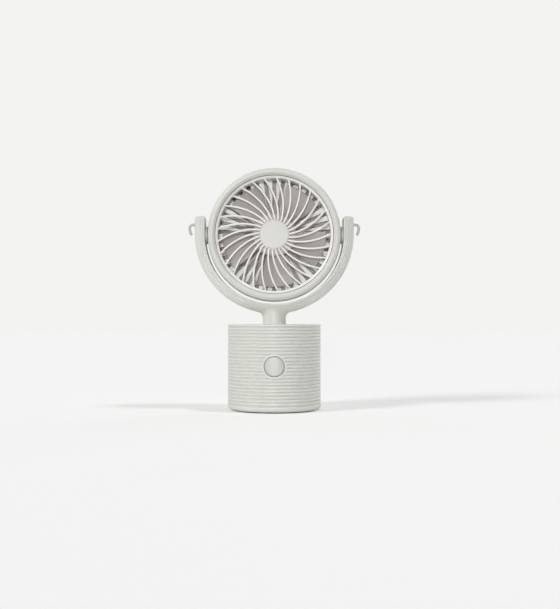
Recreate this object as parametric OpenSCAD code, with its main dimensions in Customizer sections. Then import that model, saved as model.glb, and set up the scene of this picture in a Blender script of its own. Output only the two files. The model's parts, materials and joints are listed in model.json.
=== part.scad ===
// Pocket fan on a ribbed battery base. The fan head tilts in a U-shaped yoke.
// Lengths are in millimetres. Z is up, the front faces -Y and the base stands on z = 0.

/* [Base] */
// Outer diameter of the base
base_d = 58; // [57:0.5:66]
// Height from the table to the top of the deck
base_h = 53; // [52:0.5:62]
// Wall of the base shell
base_wall = 2; // [1.6:0.1:2.2]
// Thickness of the deck that closes the base at the top
deck_t = 2.2; // [1.8:0.1:2.8]
// Radius of the rounded lower edge of the shell
base_round = 2.2; // [1:0.1:2.6]
// Gap between the table and the lower edge of the shell
shell_lift = 0.6; // [0.4:0.1:0.9]
// Distance between two ribs of the base
rib_pitch = 2.05; // [1.8:0.05:2.6]
// Depth of the grooves between the ribs
rib_depth = 0.45; // [0.3:0.05:0.7]
// Plain band above the top groove
rib_top_band = 1.6; // [1.2:0.1:4]
// Plain band below the lowest groove
rib_low_band = 3.4; // [3:0.1:8]
// Thickness of the bottom cover
cover_t = 3; // [2.6:0.1:3.4]
// Thickness of the rubber foot ring
foot_t = 1.2; // [1:0.1:1.4]
// Width of the rubber foot ring
foot_w = 7; // [6:0.5:10]

/* [Power button] */
// Diameter of the button cap
button_d = 11.9; // [9:0.1:13]
// Gap round the button cap
button_gap = 0.4; // [0.2:0.05:0.6]
// Height of the centre of the button above the table
button_z = 28; // [26:0.5:30]
// Plain land round the button hole, on the radius
button_land = 1; // [0.6:0.1:2]
// Travel of the button
button_travel = 0.4; // [0.2:0.05:0.6]
// Length of the stem between the cap and the switch
button_stem = 2.4; // [1.5:0.1:3]

/* [Charging port] */
// Width of the socket in the port
port_w = 8.94; // [8.5:0.02:9.2]
// Height of the socket in the port
port_h = 3.26; // [3:0.02:3.6]
// Depth of the socket
port_l = 7.35; // [7:0.05:8]
// Height of the centre of the port above the table
port_z = 9.8; // [9.4:0.1:11]

/* [Battery] */
// Width of the battery
battery_w = 30; // [26:0.5:31]
// Thickness of the battery
battery_t = 10; // [7:0.5:10.5]
// Room between the battery and the lower end of the neck
battery_head = 4; // [3.8:0.1:12]

/* [Neck and yoke] */
// Diameter of the neck
neck_d = 14.4; // [13.6:0.1:15.6]
// Clear height between the deck and the lowest point of the yoke
neck_l = 6.6; // [5.4:0.1:14]
// Radius of the fillet between the neck and the yoke
neck_fillet = 4; // [2:0.1:4.6]
// Diameter of the cable bore in the neck
neck_bore = 5; // [4:0.1:6]
// Gap between the head and the inner face of the yoke
yoke_gap = 1.5; // [1.1:0.1:2.5]
// Thickness of the yoke on the radius
yoke_t = 6.7; // [6.6:0.1:8]
// Width of the yoke from front to back
yoke_w = 18; // [17.6:0.1:22]
// Rise of the centre of the outer arc above the tilt axis
yoke_lift = 0.7; // [0:0.1:0.9]
// Height of the arm tops above the tilt axis
arm_rise = 11.6; // [9.5:0.1:16]
// Number of reeds round the outside of the yoke
reed_count = 12; // [8:1:14]
// Depth of the grooves between the reeds
reed_depth = 0.35; // [0.2:0.05:0.5]
// Thickness of the inner cover of the yoke
strip_t = 1.6; // [1.2:0.1:1.8]
// Width of the inner cover of the yoke
strip_w = 13.8; // [13:0.1:14.6]
// Diameter of the pivot bosses
boss_d = 11; // [10:0.1:13]
// Thickness of the wire of the lanyard hooks
hook_d = 1.7; // [1.4:0.1:2.2]
// Height of the hook root above the tilt axis
hook_rise = 6.5; // [5:0.1:8]

/* [Tilt pivot] */
// Diameter of the journal of the pivot pins
journal_d = 5.6; // [5:0.1:6.4]
// Diameter of the tail of the pivot pins
tail_d = 4.2; // [3.8:0.1:4.6]
// Diameter of the cable bore in the pivot pins
pin_bore = 2.2; // [1.8:0.1:2.6]
// Diameter of the flange of the pivot pins
flange_d = 9; // [8:0.1:9.4]
// Thickness of the friction washers
washer_t = 0.5; // [0.4:0.05:0.6]
// Running clearance of the pivot journal on the radius
journal_gap = 0.05; // [0.02:0.01:0.08]

/* [Head] */
// Outer radius of the head
head_r = 41.4; // [40:0.2:50]
// Wall of the head shell
head_wall = 1.6; // [1.4:0.1:1.8]
// Distance from the tilt axis to the front crest of the bezel
crest_front = 10; // [9.6:0.1:12]
// Distance from the tilt axis to the seam between bezel and rear shell
seam_front = 3; // [2.4:0.1:3.4]
// Distance from the tilt axis to the back of the head shell
head_back = 10.6; // [10.5:0.1:11.4]
// Radius of the rounded back edge of the head
head_round = 4; // [3.4:0.1:4.2]
// Width of the ledge of the rear shell beside the bezel
ledge_w = 1.05; // [0.7:0.05:1.3]
// Width of the bezel ring
bezel_w = 3.6; // [3.4:0.1:3.8]
// Width of the outer ring of the front grille
ring_w = 1.5; // [1.3:0.1:2]
// Distance from the crest back to the face of the front grille
grille_sink = 1.8; // [1.5:0.1:2]
// Number of front vanes
vane_count = 29; // [15:1:35]
// Width of a front vane
vane_w = 1.05; // [0.8:0.05:1.3]
// Depth of a front vane
vane_deep = 2.3; // [1.8:0.1:2.5]
// Turn of a front vane between the hub and the ring, in degrees
vane_sweep = 24.5; // [10:0.5:35]
// Radius of the plain disc in the middle of the front grille
disc_r = 9.07; // [8:0.1:11]
// Number of ribs behind the blades
rear_rib_count = 38; // [24:1:40]
// Width of the slots between the ribs behind the blades
rear_slot_w = 2.6; // [2:0.1:2.7]
// Depth of the ribs behind the blades
rear_rib_deep = 3; // [2.6:0.1:3]
// Radius of the plate that carries the motor
seat_r = 18.4; // [17.6:0.1:20]
// Number of vanes of the rear grille
rear_vane_count = 24; // [12:1:30]
// Distance between the strands of the intake net
net_pitch = 3.3; // [3.2:0.1:5]
// Thickness of a strand of the intake net
net_wire = 0.5; // [0.4:0.05:0.7]

/* [Fan and motor] */
// Number of blades
blade_count = 5; // [3:1:7]
// Radius over the blade tips
blade_r = 32.4; // [28:0.1:33]
// Angle that one blade covers, in degrees
blade_span = 46; // [25:1:50]
// Thickness of a blade
blade_t = 1.2; // [0.9:0.1:1.6]
// Depth of the fan from front to back
fan_deep = 8.3; // [7.9:0.1:8.6]
// Outer radius of the hub of the fan
hub_r = 13.5; // [13.3:0.1:14.5]
// Wall of the hub of the fan
hub_wall = 1.5; // [1.2:0.1:1.6]
// Diameter of the motor shaft
shaft_d = 2; // [1.6:0.1:2.2]
// Outer diameter of the bearings
bearing_d = 5; // [4.8:0.1:5.2]
// Thickness of a bearing
bearing_t = 2.3; // [2:0.1:2.4]
// Height of the stator stack
stack_t = 4; // [3.6:0.1:4.2]
// Number of stator teeth
tooth_count = 9; // [6:1:10]
// Diameter of the motor cable
cable_d = 1.2; // [1:0.05:1.3]

/* [Hidden] */

$fn = 96;
// Overrun of the cuts
over = 0.5;
// Clearance of a screw in its hole, on the diameter
screw_fit = 0.06;
// Clearance between two covers that plug into each other
plug_gap = 0.1;
// Clearance between flat faces that move on each other
face_gap = 0.05;

shell_colour = [0.87, 0.87, 0.84];
vane_colour = [0.92, 0.90, 0.89];
trim_colour = [0.80, 0.80, 0.78];
blade_colour = [0.59, 0.57, 0.56];
net_colour = [0.50, 0.49, 0.48];
metal_colour = [0.72, 0.73, 0.75];
brass_colour = [0.80, 0.66, 0.36];
copper_colour = [0.72, 0.42, 0.22];
board_colour = [0.12, 0.38, 0.22];
rubber_colour = [0.28, 0.28, 0.28];

// Base
base_r = base_d / 2;
base_in_r = base_r - base_wall;
deck_z = base_h - deck_t;
top_edge = 0.4;
groove_half = rib_pitch * 0.35;
groove_r = (groove_half * groove_half + rib_depth * rib_depth) / (2 * rib_depth);
groove_count = floor((base_h - rib_top_band - rib_low_band - shell_lift) / rib_pitch) + 1;
cover_z = shell_lift + cover_t;
cover_r = base_in_r - plug_gap;
foot_rim = 1.3;
foot_r = cover_r - foot_rim;
cover_screw_d = 2;
cover_screw_l = 9;
cover_screw_head = 3.6;
cover_screw_head_t = 1.1;
cover_screw_angles = [-90, 30, 150];
post_d = 5;
post_h = 12;
post_web = 2;
post_r = foot_r - cover_screw_head / 2 - plug_gap;
// Number of steps in a rounded corner of a wire
bend_steps = 4;
// How far ribs and posts run into the wall that carries them
root_in = 0.6;

// Button, switch and control board
button_hole = button_d + 2 * button_gap;
button_wall = 2;
button_sink = 0.15;
button_ring = 1.6;
button_seat_y = -(base_in_r - button_ring);
button_flange_w = 0.9;
button_flange_d = button_hole + 2 * button_flange_w;
button_flange_t = 1;
stem_d = 3.2;
plunger_d = 3.4;
plunger_gap = 0.05;
plunger_out = 1;
plunger_in = 0.9;
tact_w = 6;
tact_h = 3.5;
tact_leg = 0.7;
button_back_y = button_seat_y + face_gap + button_flange_t + button_stem;
tact_front_y = button_back_y + plunger_out;
board_y = tact_front_y + tact_h;
board_t = 1.2;
board_w = 30;
board_lift = 8.4;
board_drop = 4.8;
board_low = cover_z + board_lift;
board_h = deck_z - board_drop - board_low;
board_edge = 3.5;
board_post_d = 4.4;
board_screw_d = 1.6;
board_screw_l = 5;
board_screw_head = 3;
board_screw_head_t = 1;
board_post_x = board_w / 2 - board_edge;
chip_w = 5;
chip_t = 1.4;
coil_d = 6;
coil_t = 3;

// Charging board and port
port_sink = 0.9;
port_mouth_y = base_r - port_sink;
port_board_t = 1;
port_board_l = 10;
port_board_inset = 4.1;
port_board_rear = port_mouth_y - port_board_inset;
port_board_front = port_board_rear - port_board_l;
port_board_side = 1.37;
port_board_w = 2 * (sqrt(pow(base_in_r, 2) - pow(port_board_rear, 2)) - port_board_side);
port_board_z = port_z - port_h / 2 - port_board_t;
port_post_in = 3;
port_post_x = port_board_w / 2 - port_post_in;
port_post_y = port_board_front + port_post_in;
port_wall = 0.3;
port_fit = 0.15;
port_tongue_t = 0.7;
port_tongue_w = 6.7;
port_tongue_back = 1.2;
port_land = 1.6;

// Battery and its tray
battery_gap = 0.15;
tray_wall = 1.2;
tray_h = 6;
pad_t = 0.8;
pad_side = 3;
pad_w = battery_w - 2 * pad_side;
pad_lift = 6.5;
pad_drop = 2.5;
plate_t = 1.4;
plate_side = 1;
plate_w = battery_w - 2 * plate_side;
plate_drop = 8;
plate_gap = 1.8;
battery_front = port_board_front - plate_gap - plate_t - pad_t - battery_t;
lead_d = 1;
lead_x = 5;
lead_rise = 1.6;
coil_x = lead_x + coil_d / 2 + lead_d * 1.5;

// Neck and yoke, seen from the front: x to the right, y up, z to the front, from the tilt axis
yoke_in_r = head_r + yoke_gap;
yoke_out_r = yoke_in_r + yoke_t;
pivot_z = base_h + neck_l + yoke_out_r - yoke_lift;
yoke_half_w = yoke_w / 2;
section_in = 0.6;
section_r = yoke_in_r - section_in;
section_bulge = yoke_out_r - section_r;
reed_steps = 5;
arm_round = 1.3;
arm_side_round = 3;
tenon_d = 11;
tenon_fit = 0.1;
key_w = 2;
key_t = 0.9;
nut_t = 3.2;
nut_w = 17;
tenon_out = 1;
tenon_z = deck_z - nut_t - tenon_out;
battery_h = tenon_z - battery_head - cover_z;
plate_h = battery_h - plate_drop;
pad_h = plate_h - pad_lift - pad_drop;
strip_r = yoke_in_r + strip_t;
channel_w = 9.8;
channel_deep = 3.1;
channel_r = strip_r + channel_deep;
strip_drop = 1.8;
strip_top = arm_rise - strip_drop;
boss_gap = 0.15;
boss_face_x = head_r + boss_gap;
neck_r = neck_d / 2;
fillet_x = neck_r + neck_fillet;
fillet_y = yoke_lift - sqrt(pow(yoke_out_r + neck_fillet, 2) - pow(fillet_x, 2));
fillet_tip_y = yoke_lift + (fillet_y - yoke_lift) * yoke_out_r / (yoke_out_r + neck_fillet);
blend_in = 0.6;
blend_top_y = -(yoke_in_r + strip_t + blend_in);
blend_inset = 0.02;
blend_lean_share = 0.12;
blend_neck_share = 0.8;
blend_steps = 7;
blend_high_steps = 3;
blend_sides = 40;

// Tilt pivot, along x
washer_x = strip_r;
flange_x = washer_x + washer_t + face_gap;
flange_t = 0.8;
shoulder_x = head_r;
wall_pad_d = 2 * (seam_front - plug_gap);
wall_pad_t = 0.8;
wall_pad_x = head_r - head_wall - wall_pad_t;
pin_nut_t = 1.4;
pin_nut_w = 7;
nut_front = pin_nut_w / 2 + plug_gap;
nut_room = pin_nut_w / cos(30) + 2 * plug_gap;
pin_end_out = 0.1;
pin_end_x = wall_pad_x - pin_nut_t - pin_end_out;
tail_fit = 0.06;
cable_rest = 0.2;
cable_x = flange_x + flange_t + cable_rest + cable_d / 2;
cable_split_in = 1.2;
cable_split_x = boss_face_x + cable_split_in;

lead_arc_steps = 14;

// Lanyard hooks
hook_bend = 1.85;
hook_curl_r = 9;
hook_curl_angle = 28;
hook_out = 3.2;
hook_root_d = 2.6;
hook_root_in = 1.5;
hook_collar = 0.4;
hook_steps = 7;
hook_tip_share = 0.55;
hook_tip_reach_share = 0.3;

// Head shell and grilles, z to the front from the tilt axis
bezel_out_r = head_r - ledge_w;
bezel_bore = bezel_out_r - bezel_w;
grille_gap = 0.4;
grille_r = bezel_bore - grille_gap;
grille_in_r = grille_r - ring_w;
duct_rim = 0.35;
duct_in_r = grille_in_r + duct_rim;
duct_wall = 1;
duct_out_r = duct_in_r + duct_wall;
duct_drop = 4.8;
duct_front = crest_front - duct_drop;
void_r = head_r - head_wall;
back_wall = 2;
void_back = head_back - back_wall;
rib_front = -5;
rib_back = rib_front - rear_rib_deep;
recess_wall = 0.6;
recess_r = duct_out_r - recess_wall;
seat_t = 2;
seat_rim = 1;
crest_in = 1.55;
crest_r = bezel_bore + crest_in;
bezel_steps = 8;
bezel_step_drop = 3.35;
bezel_step_z = crest_front - bezel_step_drop;
bezel_groove_deep = 1.3;
bezel_lip_t = 1.3;
bezel_lip_h = 1.8;
grille_z = crest_front - grille_sink;
flange_w = 1.1;
grille_flange_t = bezel_step_z - duct_front - face_gap;
vane_inner = disc_r + face_gap;
vane_start = 88.2;
vane_steps = 8;
vane_ease_share = 0.09;
vane_root = 0.4;
disc_t = 0.85;
disc_sink = 0.25;
hub_plate_rim = 0.15;
hub_plate_r = disc_r + hub_plate_rim;
peg_d = 1.6;
peg_l = 0.8;
peg_ring = 5.5;
peg_angles = [90, 210, 330];
peg_fit = 0.1;
head_screw_angles = [45, 135, 225, 315];
head_screw_d = 1.6;
head_screw_l = 7.5;
head_screw_head = 2.6;
head_screw_head_t = 0.9;
head_post_d = 2.9;
head_post_r = void_r - head_post_d / 2 - plug_gap;
head_post_back = -(head_back - head_round);
head_screw_sink = 1.1;
head_seat_z = -(head_back - head_screw_sink);
net_t = 0.6;
net_rim = 1.2;
net_front = rib_back - face_gap;
net_out_r = recess_r - plug_gap;
net_in_r = seat_r - seat_rim;
cable_net_gap = 0.15;
cable_z = net_front - net_t - cable_net_gap - cable_d / 2;
cable_vane_gap = 0.2;
rear_vane_front = cable_z - cable_d / 2 - cable_vane_gap;
rear_vane_t = 1.6;
rear_face_z = rear_vane_front - rear_vane_t;
rear_ring_w = 2;
rear_ring_r = recess_r - plug_gap;
rear_hub_r = 12.5;
rear_vane_w = 1.3;
rear_vane_sweep = -24;
rear_boss_r = 9;
rear_boss_w = 1.4;
notch_gap = 0.25;
notch_w = cable_d + 2 * notch_gap;
cable_r = duct_out_r + cable_d / 2 + face_gap;
cable_hole_r = 11;

// Fan and motor, z to the front from the tilt axis
fan_front = 4.9;
fan_back = fan_front - fan_deep;
fan_plate_t = 0.85;
hub_edge = 1.2;
blade_front_gap = 1.3;
blade_back_gap = 0.3;
blade_root_in = 0.6;
blade_steps = 10;
blade_rows = 4;
blade_camber_share = 0.12;
blade_wash_share = 0.15;
// How far the edges of a blade close in towards its tip, in degrees
blade_taper = 2;
blade_start = 32;
cup_r = hub_r - hub_wall - face_gap;
cup_t = 0.7;
cup_front = fan_front - fan_plate_t - face_gap;
cup_lift = 0.6;
cup_back = fan_back + cup_lift;
cup_boss_r = 2.2;
cup_boss_gap = 0.15;
magnet_r = cup_r - cup_t;
magnet_t = 1.4;
magnet_edge = 0.4;
air_gap = 0.4;
stator_r = magnet_r - magnet_t - air_gap;
stack_front = 2.2;
stack_back = stack_front - stack_t;
winding_t = 0.65;
tooth_w = 1.6;
shoe_t = 1.1;
slot_mouth = 1.4;
winding_gap = 0.05;
core_hub_t = 1.6;
tube_wall = 0.9;
tube_in_r = bearing_d / 2;
tube_r = tube_in_r + tube_wall;
tube_out = 0.4;
tube_front = stack_front + tube_out;
tube_back = rib_front - seat_t;
bearing_sink = 0.3;
bearing_front_z = tube_front - bearing_sink;
bearing_back_z = tube_back + bearing_sink;
shaft_fit = 0.02;
shaft_out = 0.6;
shaft_end = tube_back - shaft_out;
clip_t = 0.4;
clip_r = 2.2;
motor_board_t = 0.8;
motor_board_r = 12.2;
motor_board_lift = 0.2;
motor_board_z = rib_front + motor_board_lift;
board_bore_gap = 0.3;

// Puts a shape drawn from the front at the tilt axis
module at_pivot() {
    translate([0, 0, pivot_z]) rotate([90, 0, 0]) children();
}

// Turns a shape drawn upwards so that it points to the back, from the front of the base
module to_back(y, z) {
    translate([0, y, z]) rotate([-90, 0, 0]) children();
}

// Ring with a square section, from z0 to z1
module ring(r_in, r_out, z0, z1) {
    translate([0, 0, z0]) difference() {
        cylinder(h = z1 - z0, r = r_out);
        translate([0, 0, -over]) cylinder(h = z1 - z0 + 2 * over, r = r_in);
    }
}

// Screw whose head sits below z = 0 and whose shank points up
module screw(shank_d, length, head_d, head_t) {
    cross_w = head_d * 0.18;
    cross_l = head_d * 0.62;
    difference() {
        union() {
            translate([0, 0, -head_t]) cylinder(h = head_t, d = head_d, $fn = 32);
            translate([0, 0, -head_t / 2]) cylinder(h = length + head_t / 2, d = shank_d, $fn = 32);
        }
        for (turn = [0, 90]) {
            rotate([0, 0, turn]) translate([-cross_l / 2, -cross_w / 2, -head_t - over])
                cube([cross_l, cross_w, head_t / 2 + over]);
        }
    }
}

function unit(v) = v / norm(v);

// Route whose corners are rounded by short curves that start a given reach before each corner
function eased(route, reach) = concat(
    [route[0]],
    [for (i = [1 : 1 : len(route) - 2])
        let (before = unit(route[i - 1] - route[i]), after = unit(route[i + 1] - route[i]))
        each [for (k = [0 : bend_steps]) let (t = k / bend_steps)
            route[i] + reach * (before * pow(1 - t, 2) + after * pow(t, 2))]],
    [route[len(route) - 1]]);

// Direction of a route at each of its points
function headings(route) = [for (i = [0 : len(route) - 1])
    i == 0 ? unit(route[1] - route[0])
        : i == len(route) - 1 ? unit(route[i] - route[i - 1])
        : unit(unit(route[i] - route[i - 1]) + unit(route[i + 1] - route[i]))];

// Side directions that follow the headings without twisting
function sideways(heads, side, i = 1) = i >= len(heads) ? [side]
    : concat([side], sideways(heads, unit(side - (side * heads[i]) * heads[i]), i + 1));

// Round wire swept along a route, one closed polyhedron, whose last ring may be smaller
module wire(route, d, sides = 8, tip_share = 1) {
    heads = headings(route);
    first = abs(heads[0][2]) > 0.9 ? [1, 0, 0] : unit(cross(heads[0], [0, 0, 1]));
    across = sideways(heads, first);
    last = len(route) - 1;
    points = [for (i = [0 : last], j = [0 : sides - 1])
        let (a = 360 * (j + 0.5) / sides, share = i == last ? tip_share : 1)
        route[i] + share * d / 2 * (across[i] * cos(a) + cross(heads[i], across[i]) * sin(a))];
    walls = [for (i = [0 : last - 1], j = [0 : sides - 1])
        let (k = i * sides, next = (j + 1) % sides)
        each [[k + j, k + sides + j, k + sides + next], [k + j, k + sides + next, k + next]]];
    polyhedron(points, concat(walls, [[for (j = [0 : sides - 1]) j]],
                              [[for (j = [sides - 1 : -1 : 0]) last * sides + j]]));
}

// Flat plate with round ends, lying along x
module stadium(w, h, t) {
    for (side = [-1, 1]) translate([side * (w - h) / 2, 0, 0]) cylinder(h = t, d = h, $fn = 48);
    translate([-(w - h) / 2, -h / 2, 0]) cube([w - h, h, t]);
}

// Outline of the base from the axis to its wall
module base_outline() {
    straight_z = shell_lift + base_round;
    translate([0, straight_z]) square([base_r, base_h - top_edge - straight_z]);
    translate([0, shell_lift]) square([base_r - base_round, base_round + over]);
    translate([base_r - base_round, straight_z]) circle(r = base_round);
    translate([0, base_h - top_edge - over]) square([base_r - top_edge, top_edge + over]);
    translate([base_r - top_edge, base_h - top_edge]) circle(r = top_edge);
}

// Grooves round the base, left out round the button and the port
module rib_grooves() {
    difference() {
        rotate_extrude() for (i = [0 : groove_count - 1]) {
            translate([base_r + groove_r - rib_depth, base_h - rib_top_band - i * rib_pitch])
                circle(r = groove_r, $fn = 32);
        }
        to_back(-base_r - groove_r, button_z)
            cylinder(h = base_r, d = button_hole + 2 * button_land);
        translate([0, base_r + groove_r, port_z]) rotate([90, 0, 0])
            stadium(port_w + 2 * port_land, port_h + 2 * port_land, base_r);
    }
}

module base_shell() {
    color(shell_colour) difference() {
        union() {
            difference() {
                rotate_extrude() base_outline();
                translate([0, 0, -over]) cylinder(h = deck_z + over, r = base_in_r);
                rib_grooves();
            }
            intersection() {
                cylinder(h = base_h - deck_t / 2, r = base_in_r + root_in);
                union() {
                    to_back(-base_r, button_z)
                        cylinder(h = base_r + button_seat_y, d = button_hole + 2 * button_wall);
                    for (x = [-board_post_x, board_post_x], z = [board_edge, board_h - board_edge]) {
                        translate([x, 0, 0]) to_back(-base_r, board_low + z)
                            cylinder(h = base_r + board_y, d = board_post_d);
                    }
                    for (a = cover_screw_angles) rotate([0, 0, a]) {
                        translate([post_r, 0, cover_z]) cylinder(h = post_h, d = post_d);
                        translate([post_r, -post_web / 2, cover_z])
                            cube([base_r - post_r, post_web, post_h]);
                    }
                }
            }
        }
        to_back(-base_r - over, button_z) cylinder(h = base_r, d = button_hole);
        translate([0, base_r + over, port_z]) rotate([90, 0, 0])
            stadium(port_w + 2 * port_fit, port_h + 2 * port_fit, base_wall + 2 * over);
        for (x = [-board_post_x, board_post_x], z = [board_edge, board_h - board_edge]) {
            translate([x, 0, 0]) to_back(board_y - board_screw_l, board_low + z)
                cylinder(h = board_screw_l + over, d = board_screw_d + screw_fit, $fn = 32);
        }
        for (a = cover_screw_angles) rotate([0, 0, a]) translate([post_r, 0, cover_z - over])
            cylinder(h = cover_screw_l + over, d = cover_screw_d + screw_fit, $fn = 32);
        translate([0, 0, deck_z - over]) cylinder(h = deck_t + 2 * over, d = tenon_d + tenon_fit);
        translate([-(key_w + tenon_fit) / 2, 0, deck_z - over])
            cube([key_w + tenon_fit, tenon_d / 2 + key_t + tenon_fit, deck_t + 2 * over]);
    }
}

module bottom_cover() {
    tray_x = battery_w / 2 + battery_gap;
    tray_front = battery_front - battery_gap - tray_wall;
    plate_y = battery_front + battery_t + pad_t;
    head_z = foot_t + face_gap;
    color(shell_colour) difference() {
        union() {
            translate([0, 0, shell_lift]) cylinder(h = cover_t, r = cover_r);
            translate([-tray_x - tray_wall, tray_front, cover_z - over])
                cube([2 * (tray_x + tray_wall), battery_t + battery_gap + tray_wall, tray_h + over]);
            translate([-plate_w / 2, plate_y, cover_z - over]) cube([plate_w, plate_t, plate_h + over]);
            for (x = [-port_post_x, port_post_x]) translate([x, port_post_y, cover_z - over])
                cylinder(h = port_board_z - cover_z + over, d = board_post_d);
        }
        translate([-tray_x, battery_front - battery_gap, cover_z])
            cube([2 * tray_x, battery_t + 2 * battery_gap, tray_h + over]);
        translate([0, 0, -over]) ring(foot_r - foot_w, foot_r, 0, foot_t + over);
        for (a = cover_screw_angles) rotate([0, 0, a]) translate([post_r, 0, 0]) {
            cylinder(h = cover_z + over, d = cover_screw_d + screw_fit, $fn = 32);
            cylinder(h = head_z + cover_screw_head_t, d = cover_screw_head + screw_fit, $fn = 32);
        }
        for (x = [-port_post_x, port_post_x]) translate([x, port_post_y, port_board_z - board_screw_l])
            cylinder(h = board_screw_l + over, d = board_screw_d + screw_fit, $fn = 32);
    }
}

module foot_ring() {
    color(rubber_colour) ring(foot_r - foot_w, foot_r, 0, foot_t);
}

module cover_screws() {
    head_z = foot_t + face_gap + cover_screw_head_t;
    color(metal_colour) for (a = cover_screw_angles) rotate([0, 0, a]) translate([post_r, 0, head_z])
        screw(cover_screw_d, cover_z + cover_screw_l - head_z - over,
              cover_screw_head, cover_screw_head_t);
}

module power_button() {
    flange_y = button_seat_y + face_gap;
    color(shell_colour) {
        intersection() {
            to_back(-base_r, button_z) cylinder(h = base_r + flange_y + root_in, d = button_d);
            cylinder(h = base_h, r = base_r - button_sink);
        }
        to_back(flange_y, button_z) cylinder(h = button_flange_t, d = button_flange_d);
        to_back(flange_y, button_z) cylinder(h = button_back_y - flange_y, d = stem_d);
    }
}

module switch_plunger() {
    color(rubber_colour) to_back(button_back_y, button_z)
        cylinder(h = plunger_out + plunger_in, d = plunger_d);
}

module tact_switch() {
    well = plunger_in + button_travel + face_gap;
    color(trim_colour) difference() {
        union() {
            translate([-tact_w / 2, tact_front_y, button_z - tact_w / 2]) cube([tact_w, tact_h, tact_w]);
            for (x = [-1, 1], z = [-1, 1]) {
                translate([x * tact_w / 2 - tact_leg / 2, board_y - tact_leg * 2,
                           button_z + z * tact_w / 3 - tact_leg / 2])
                    cube([tact_leg, tact_leg * 2, tact_leg]);
            }
        }
        to_back(tact_front_y - over, button_z)
            cylinder(h = well + over, d = plunger_d + 2 * plunger_gap);
    }
}

module control_board() {
    back_y = board_y + board_t;
    color(board_colour) difference() {
        union() {
            translate([-board_w / 2, board_y, board_low]) cube([board_w, board_t, board_h]);
            translate([-chip_w / 2, back_y, button_z - chip_w / 2]) cube([chip_w, chip_t, chip_w]);
            translate([coil_x, 0, 0]) to_back(back_y, button_z)
                cylinder(h = coil_t, d = coil_d);
        }
        for (x = [-board_post_x, board_post_x], z = [board_edge, board_h - board_edge]) {
            translate([x, 0, 0]) to_back(board_y - over, board_low + z)
                cylinder(h = board_t + 2 * over, d = board_screw_d + screw_fit, $fn = 32);
        }
    }
}

module board_screws() {
    color(metal_colour) {
        for (x = [-board_post_x, board_post_x], z = [board_edge, board_h - board_edge]) {
            translate([x, board_y + board_t, board_low + z]) rotate([90, 0, 0])
                screw(board_screw_d, board_t + board_screw_l - over, board_screw_head, board_screw_head_t);
        }
        for (x = [-port_post_x, port_post_x]) {
            translate([x, port_post_y, port_board_z + port_board_t]) rotate([180, 0, 0])
                screw(board_screw_d, board_t + board_screw_l - over, board_screw_head, board_screw_head_t);
        }
    }
}

module charge_board() {
    color(board_colour) difference() {
        union() {
            translate([-port_board_w / 2, port_board_front, port_board_z])
                cube([port_board_w, port_board_rear - port_board_front, port_board_t]);
            translate([-chip_w / 2, port_board_front + port_board_t, port_board_z + port_board_t])
                cube([chip_w, chip_w * 0.8, chip_t]);
        }
        for (x = [-port_post_x, port_post_x]) translate([x, port_post_y, port_board_z - over])
            cylinder(h = port_board_t + 2 * over, d = board_screw_d + screw_fit, $fn = 32);
    }
}

module usb_c_socket() {
    color(metal_colour) translate([0, port_mouth_y, port_z]) rotate([90, 0, 0]) {
        difference() {
            stadium(port_w, port_h, port_l);
            translate([0, 0, -over])
                stadium(port_w - 2 * port_wall, port_h - 2 * port_wall, port_l - port_tongue_back + over);
        }
        translate([-port_tongue_w / 2, -port_tongue_t / 2, port_wall])
            cube([port_tongue_w, port_tongue_t, port_l - port_wall - port_tongue_back / 2]);
    }
}

module battery_cell() {
    seal = 1.2;
    color(metal_colour) {
        translate([-battery_w / 2, battery_front, cover_z]) cube([battery_w, battery_t, battery_h - seal]);
        translate([-battery_w / 2, battery_front + battery_t * 0.3, cover_z + battery_h - seal])
            cube([battery_w, battery_t * 0.4, seal]);
    }
}

module battery_pad() {
    color(rubber_colour) translate([-pad_w / 2, battery_front + battery_t, cover_z + pad_lift])
        cube([pad_w, pad_t, pad_h]);
}

module battery_leads() {
    top_z = cover_z + battery_h;
    mid_y = battery_front + battery_t / 2;
    run_z = top_z + lead_rise;
    end_y = board_y + board_t + lead_d * 0.5;
    end_z = board_low + board_h - board_edge * 2;
    color(copper_colour) for (x = [-lead_x, lead_x]) {
        wire(eased([[x, mid_y, top_z], [x, mid_y, run_z], [x, end_y, run_z], [x, end_y, end_z]],
                   lead_d * 0.9), lead_d);
    }
}

module charge_leads() {
    start_z = port_board_z + port_board_t;
    run_z = cover_z + post_h + lead_d;
    side_x = battery_w / 2 + tray_wall + lead_d;
    start_x = port_board_w / 2 - lead_d;
    start_y = battery_front + battery_t + pad_t + plate_t + lead_d * 2.5;
    turn_y = battery_front - tray_wall - lead_d * 2;
    end_y = board_y + board_t;
    end_z = board_low + board_edge * 2;
    lead_end_x = board_post_x - board_edge;
    color(copper_colour) for (side = [-1, 1]) {
        wire(eased([[side * start_x, start_y, start_z], [side * start_x, start_y, run_z],
                    [side * side_x, start_y - lead_d, run_z], [side * side_x, turn_y, run_z],
                    [side * lead_end_x, turn_y, end_z], [side * lead_end_x, end_y, end_z]],
                   lead_d), lead_d);
    }
}

module neck_nut() {
    color(metal_colour) translate([0, 0, deck_z - nut_t]) difference() {
        cylinder(h = nut_t, d = nut_w / cos(30), $fn = 6);
        translate([0, 0, -over]) cylinder(h = nut_t + 2 * over, d = tenon_d + tenon_fit);
    }
}

// Section of the yoke: flat inside, round and reeded outside
function section_points() = [
    for (i = [0 : reed_count * reed_steps])
        let (a = 180 * i / (reed_count * reed_steps),
             dip = reed_depth * (1 - abs(sin(reed_count * a))))
        [section_r + (section_bulge - dip) * sin(a), (yoke_half_w - dip) * cos(a)]
];

// Band that runs from arm to arm under the head
module band() {
    translate([0, yoke_lift, 0]) rotate([0, 0, -180])
        rotate_extrude(angle = 180) polygon(section_points());
}

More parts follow.
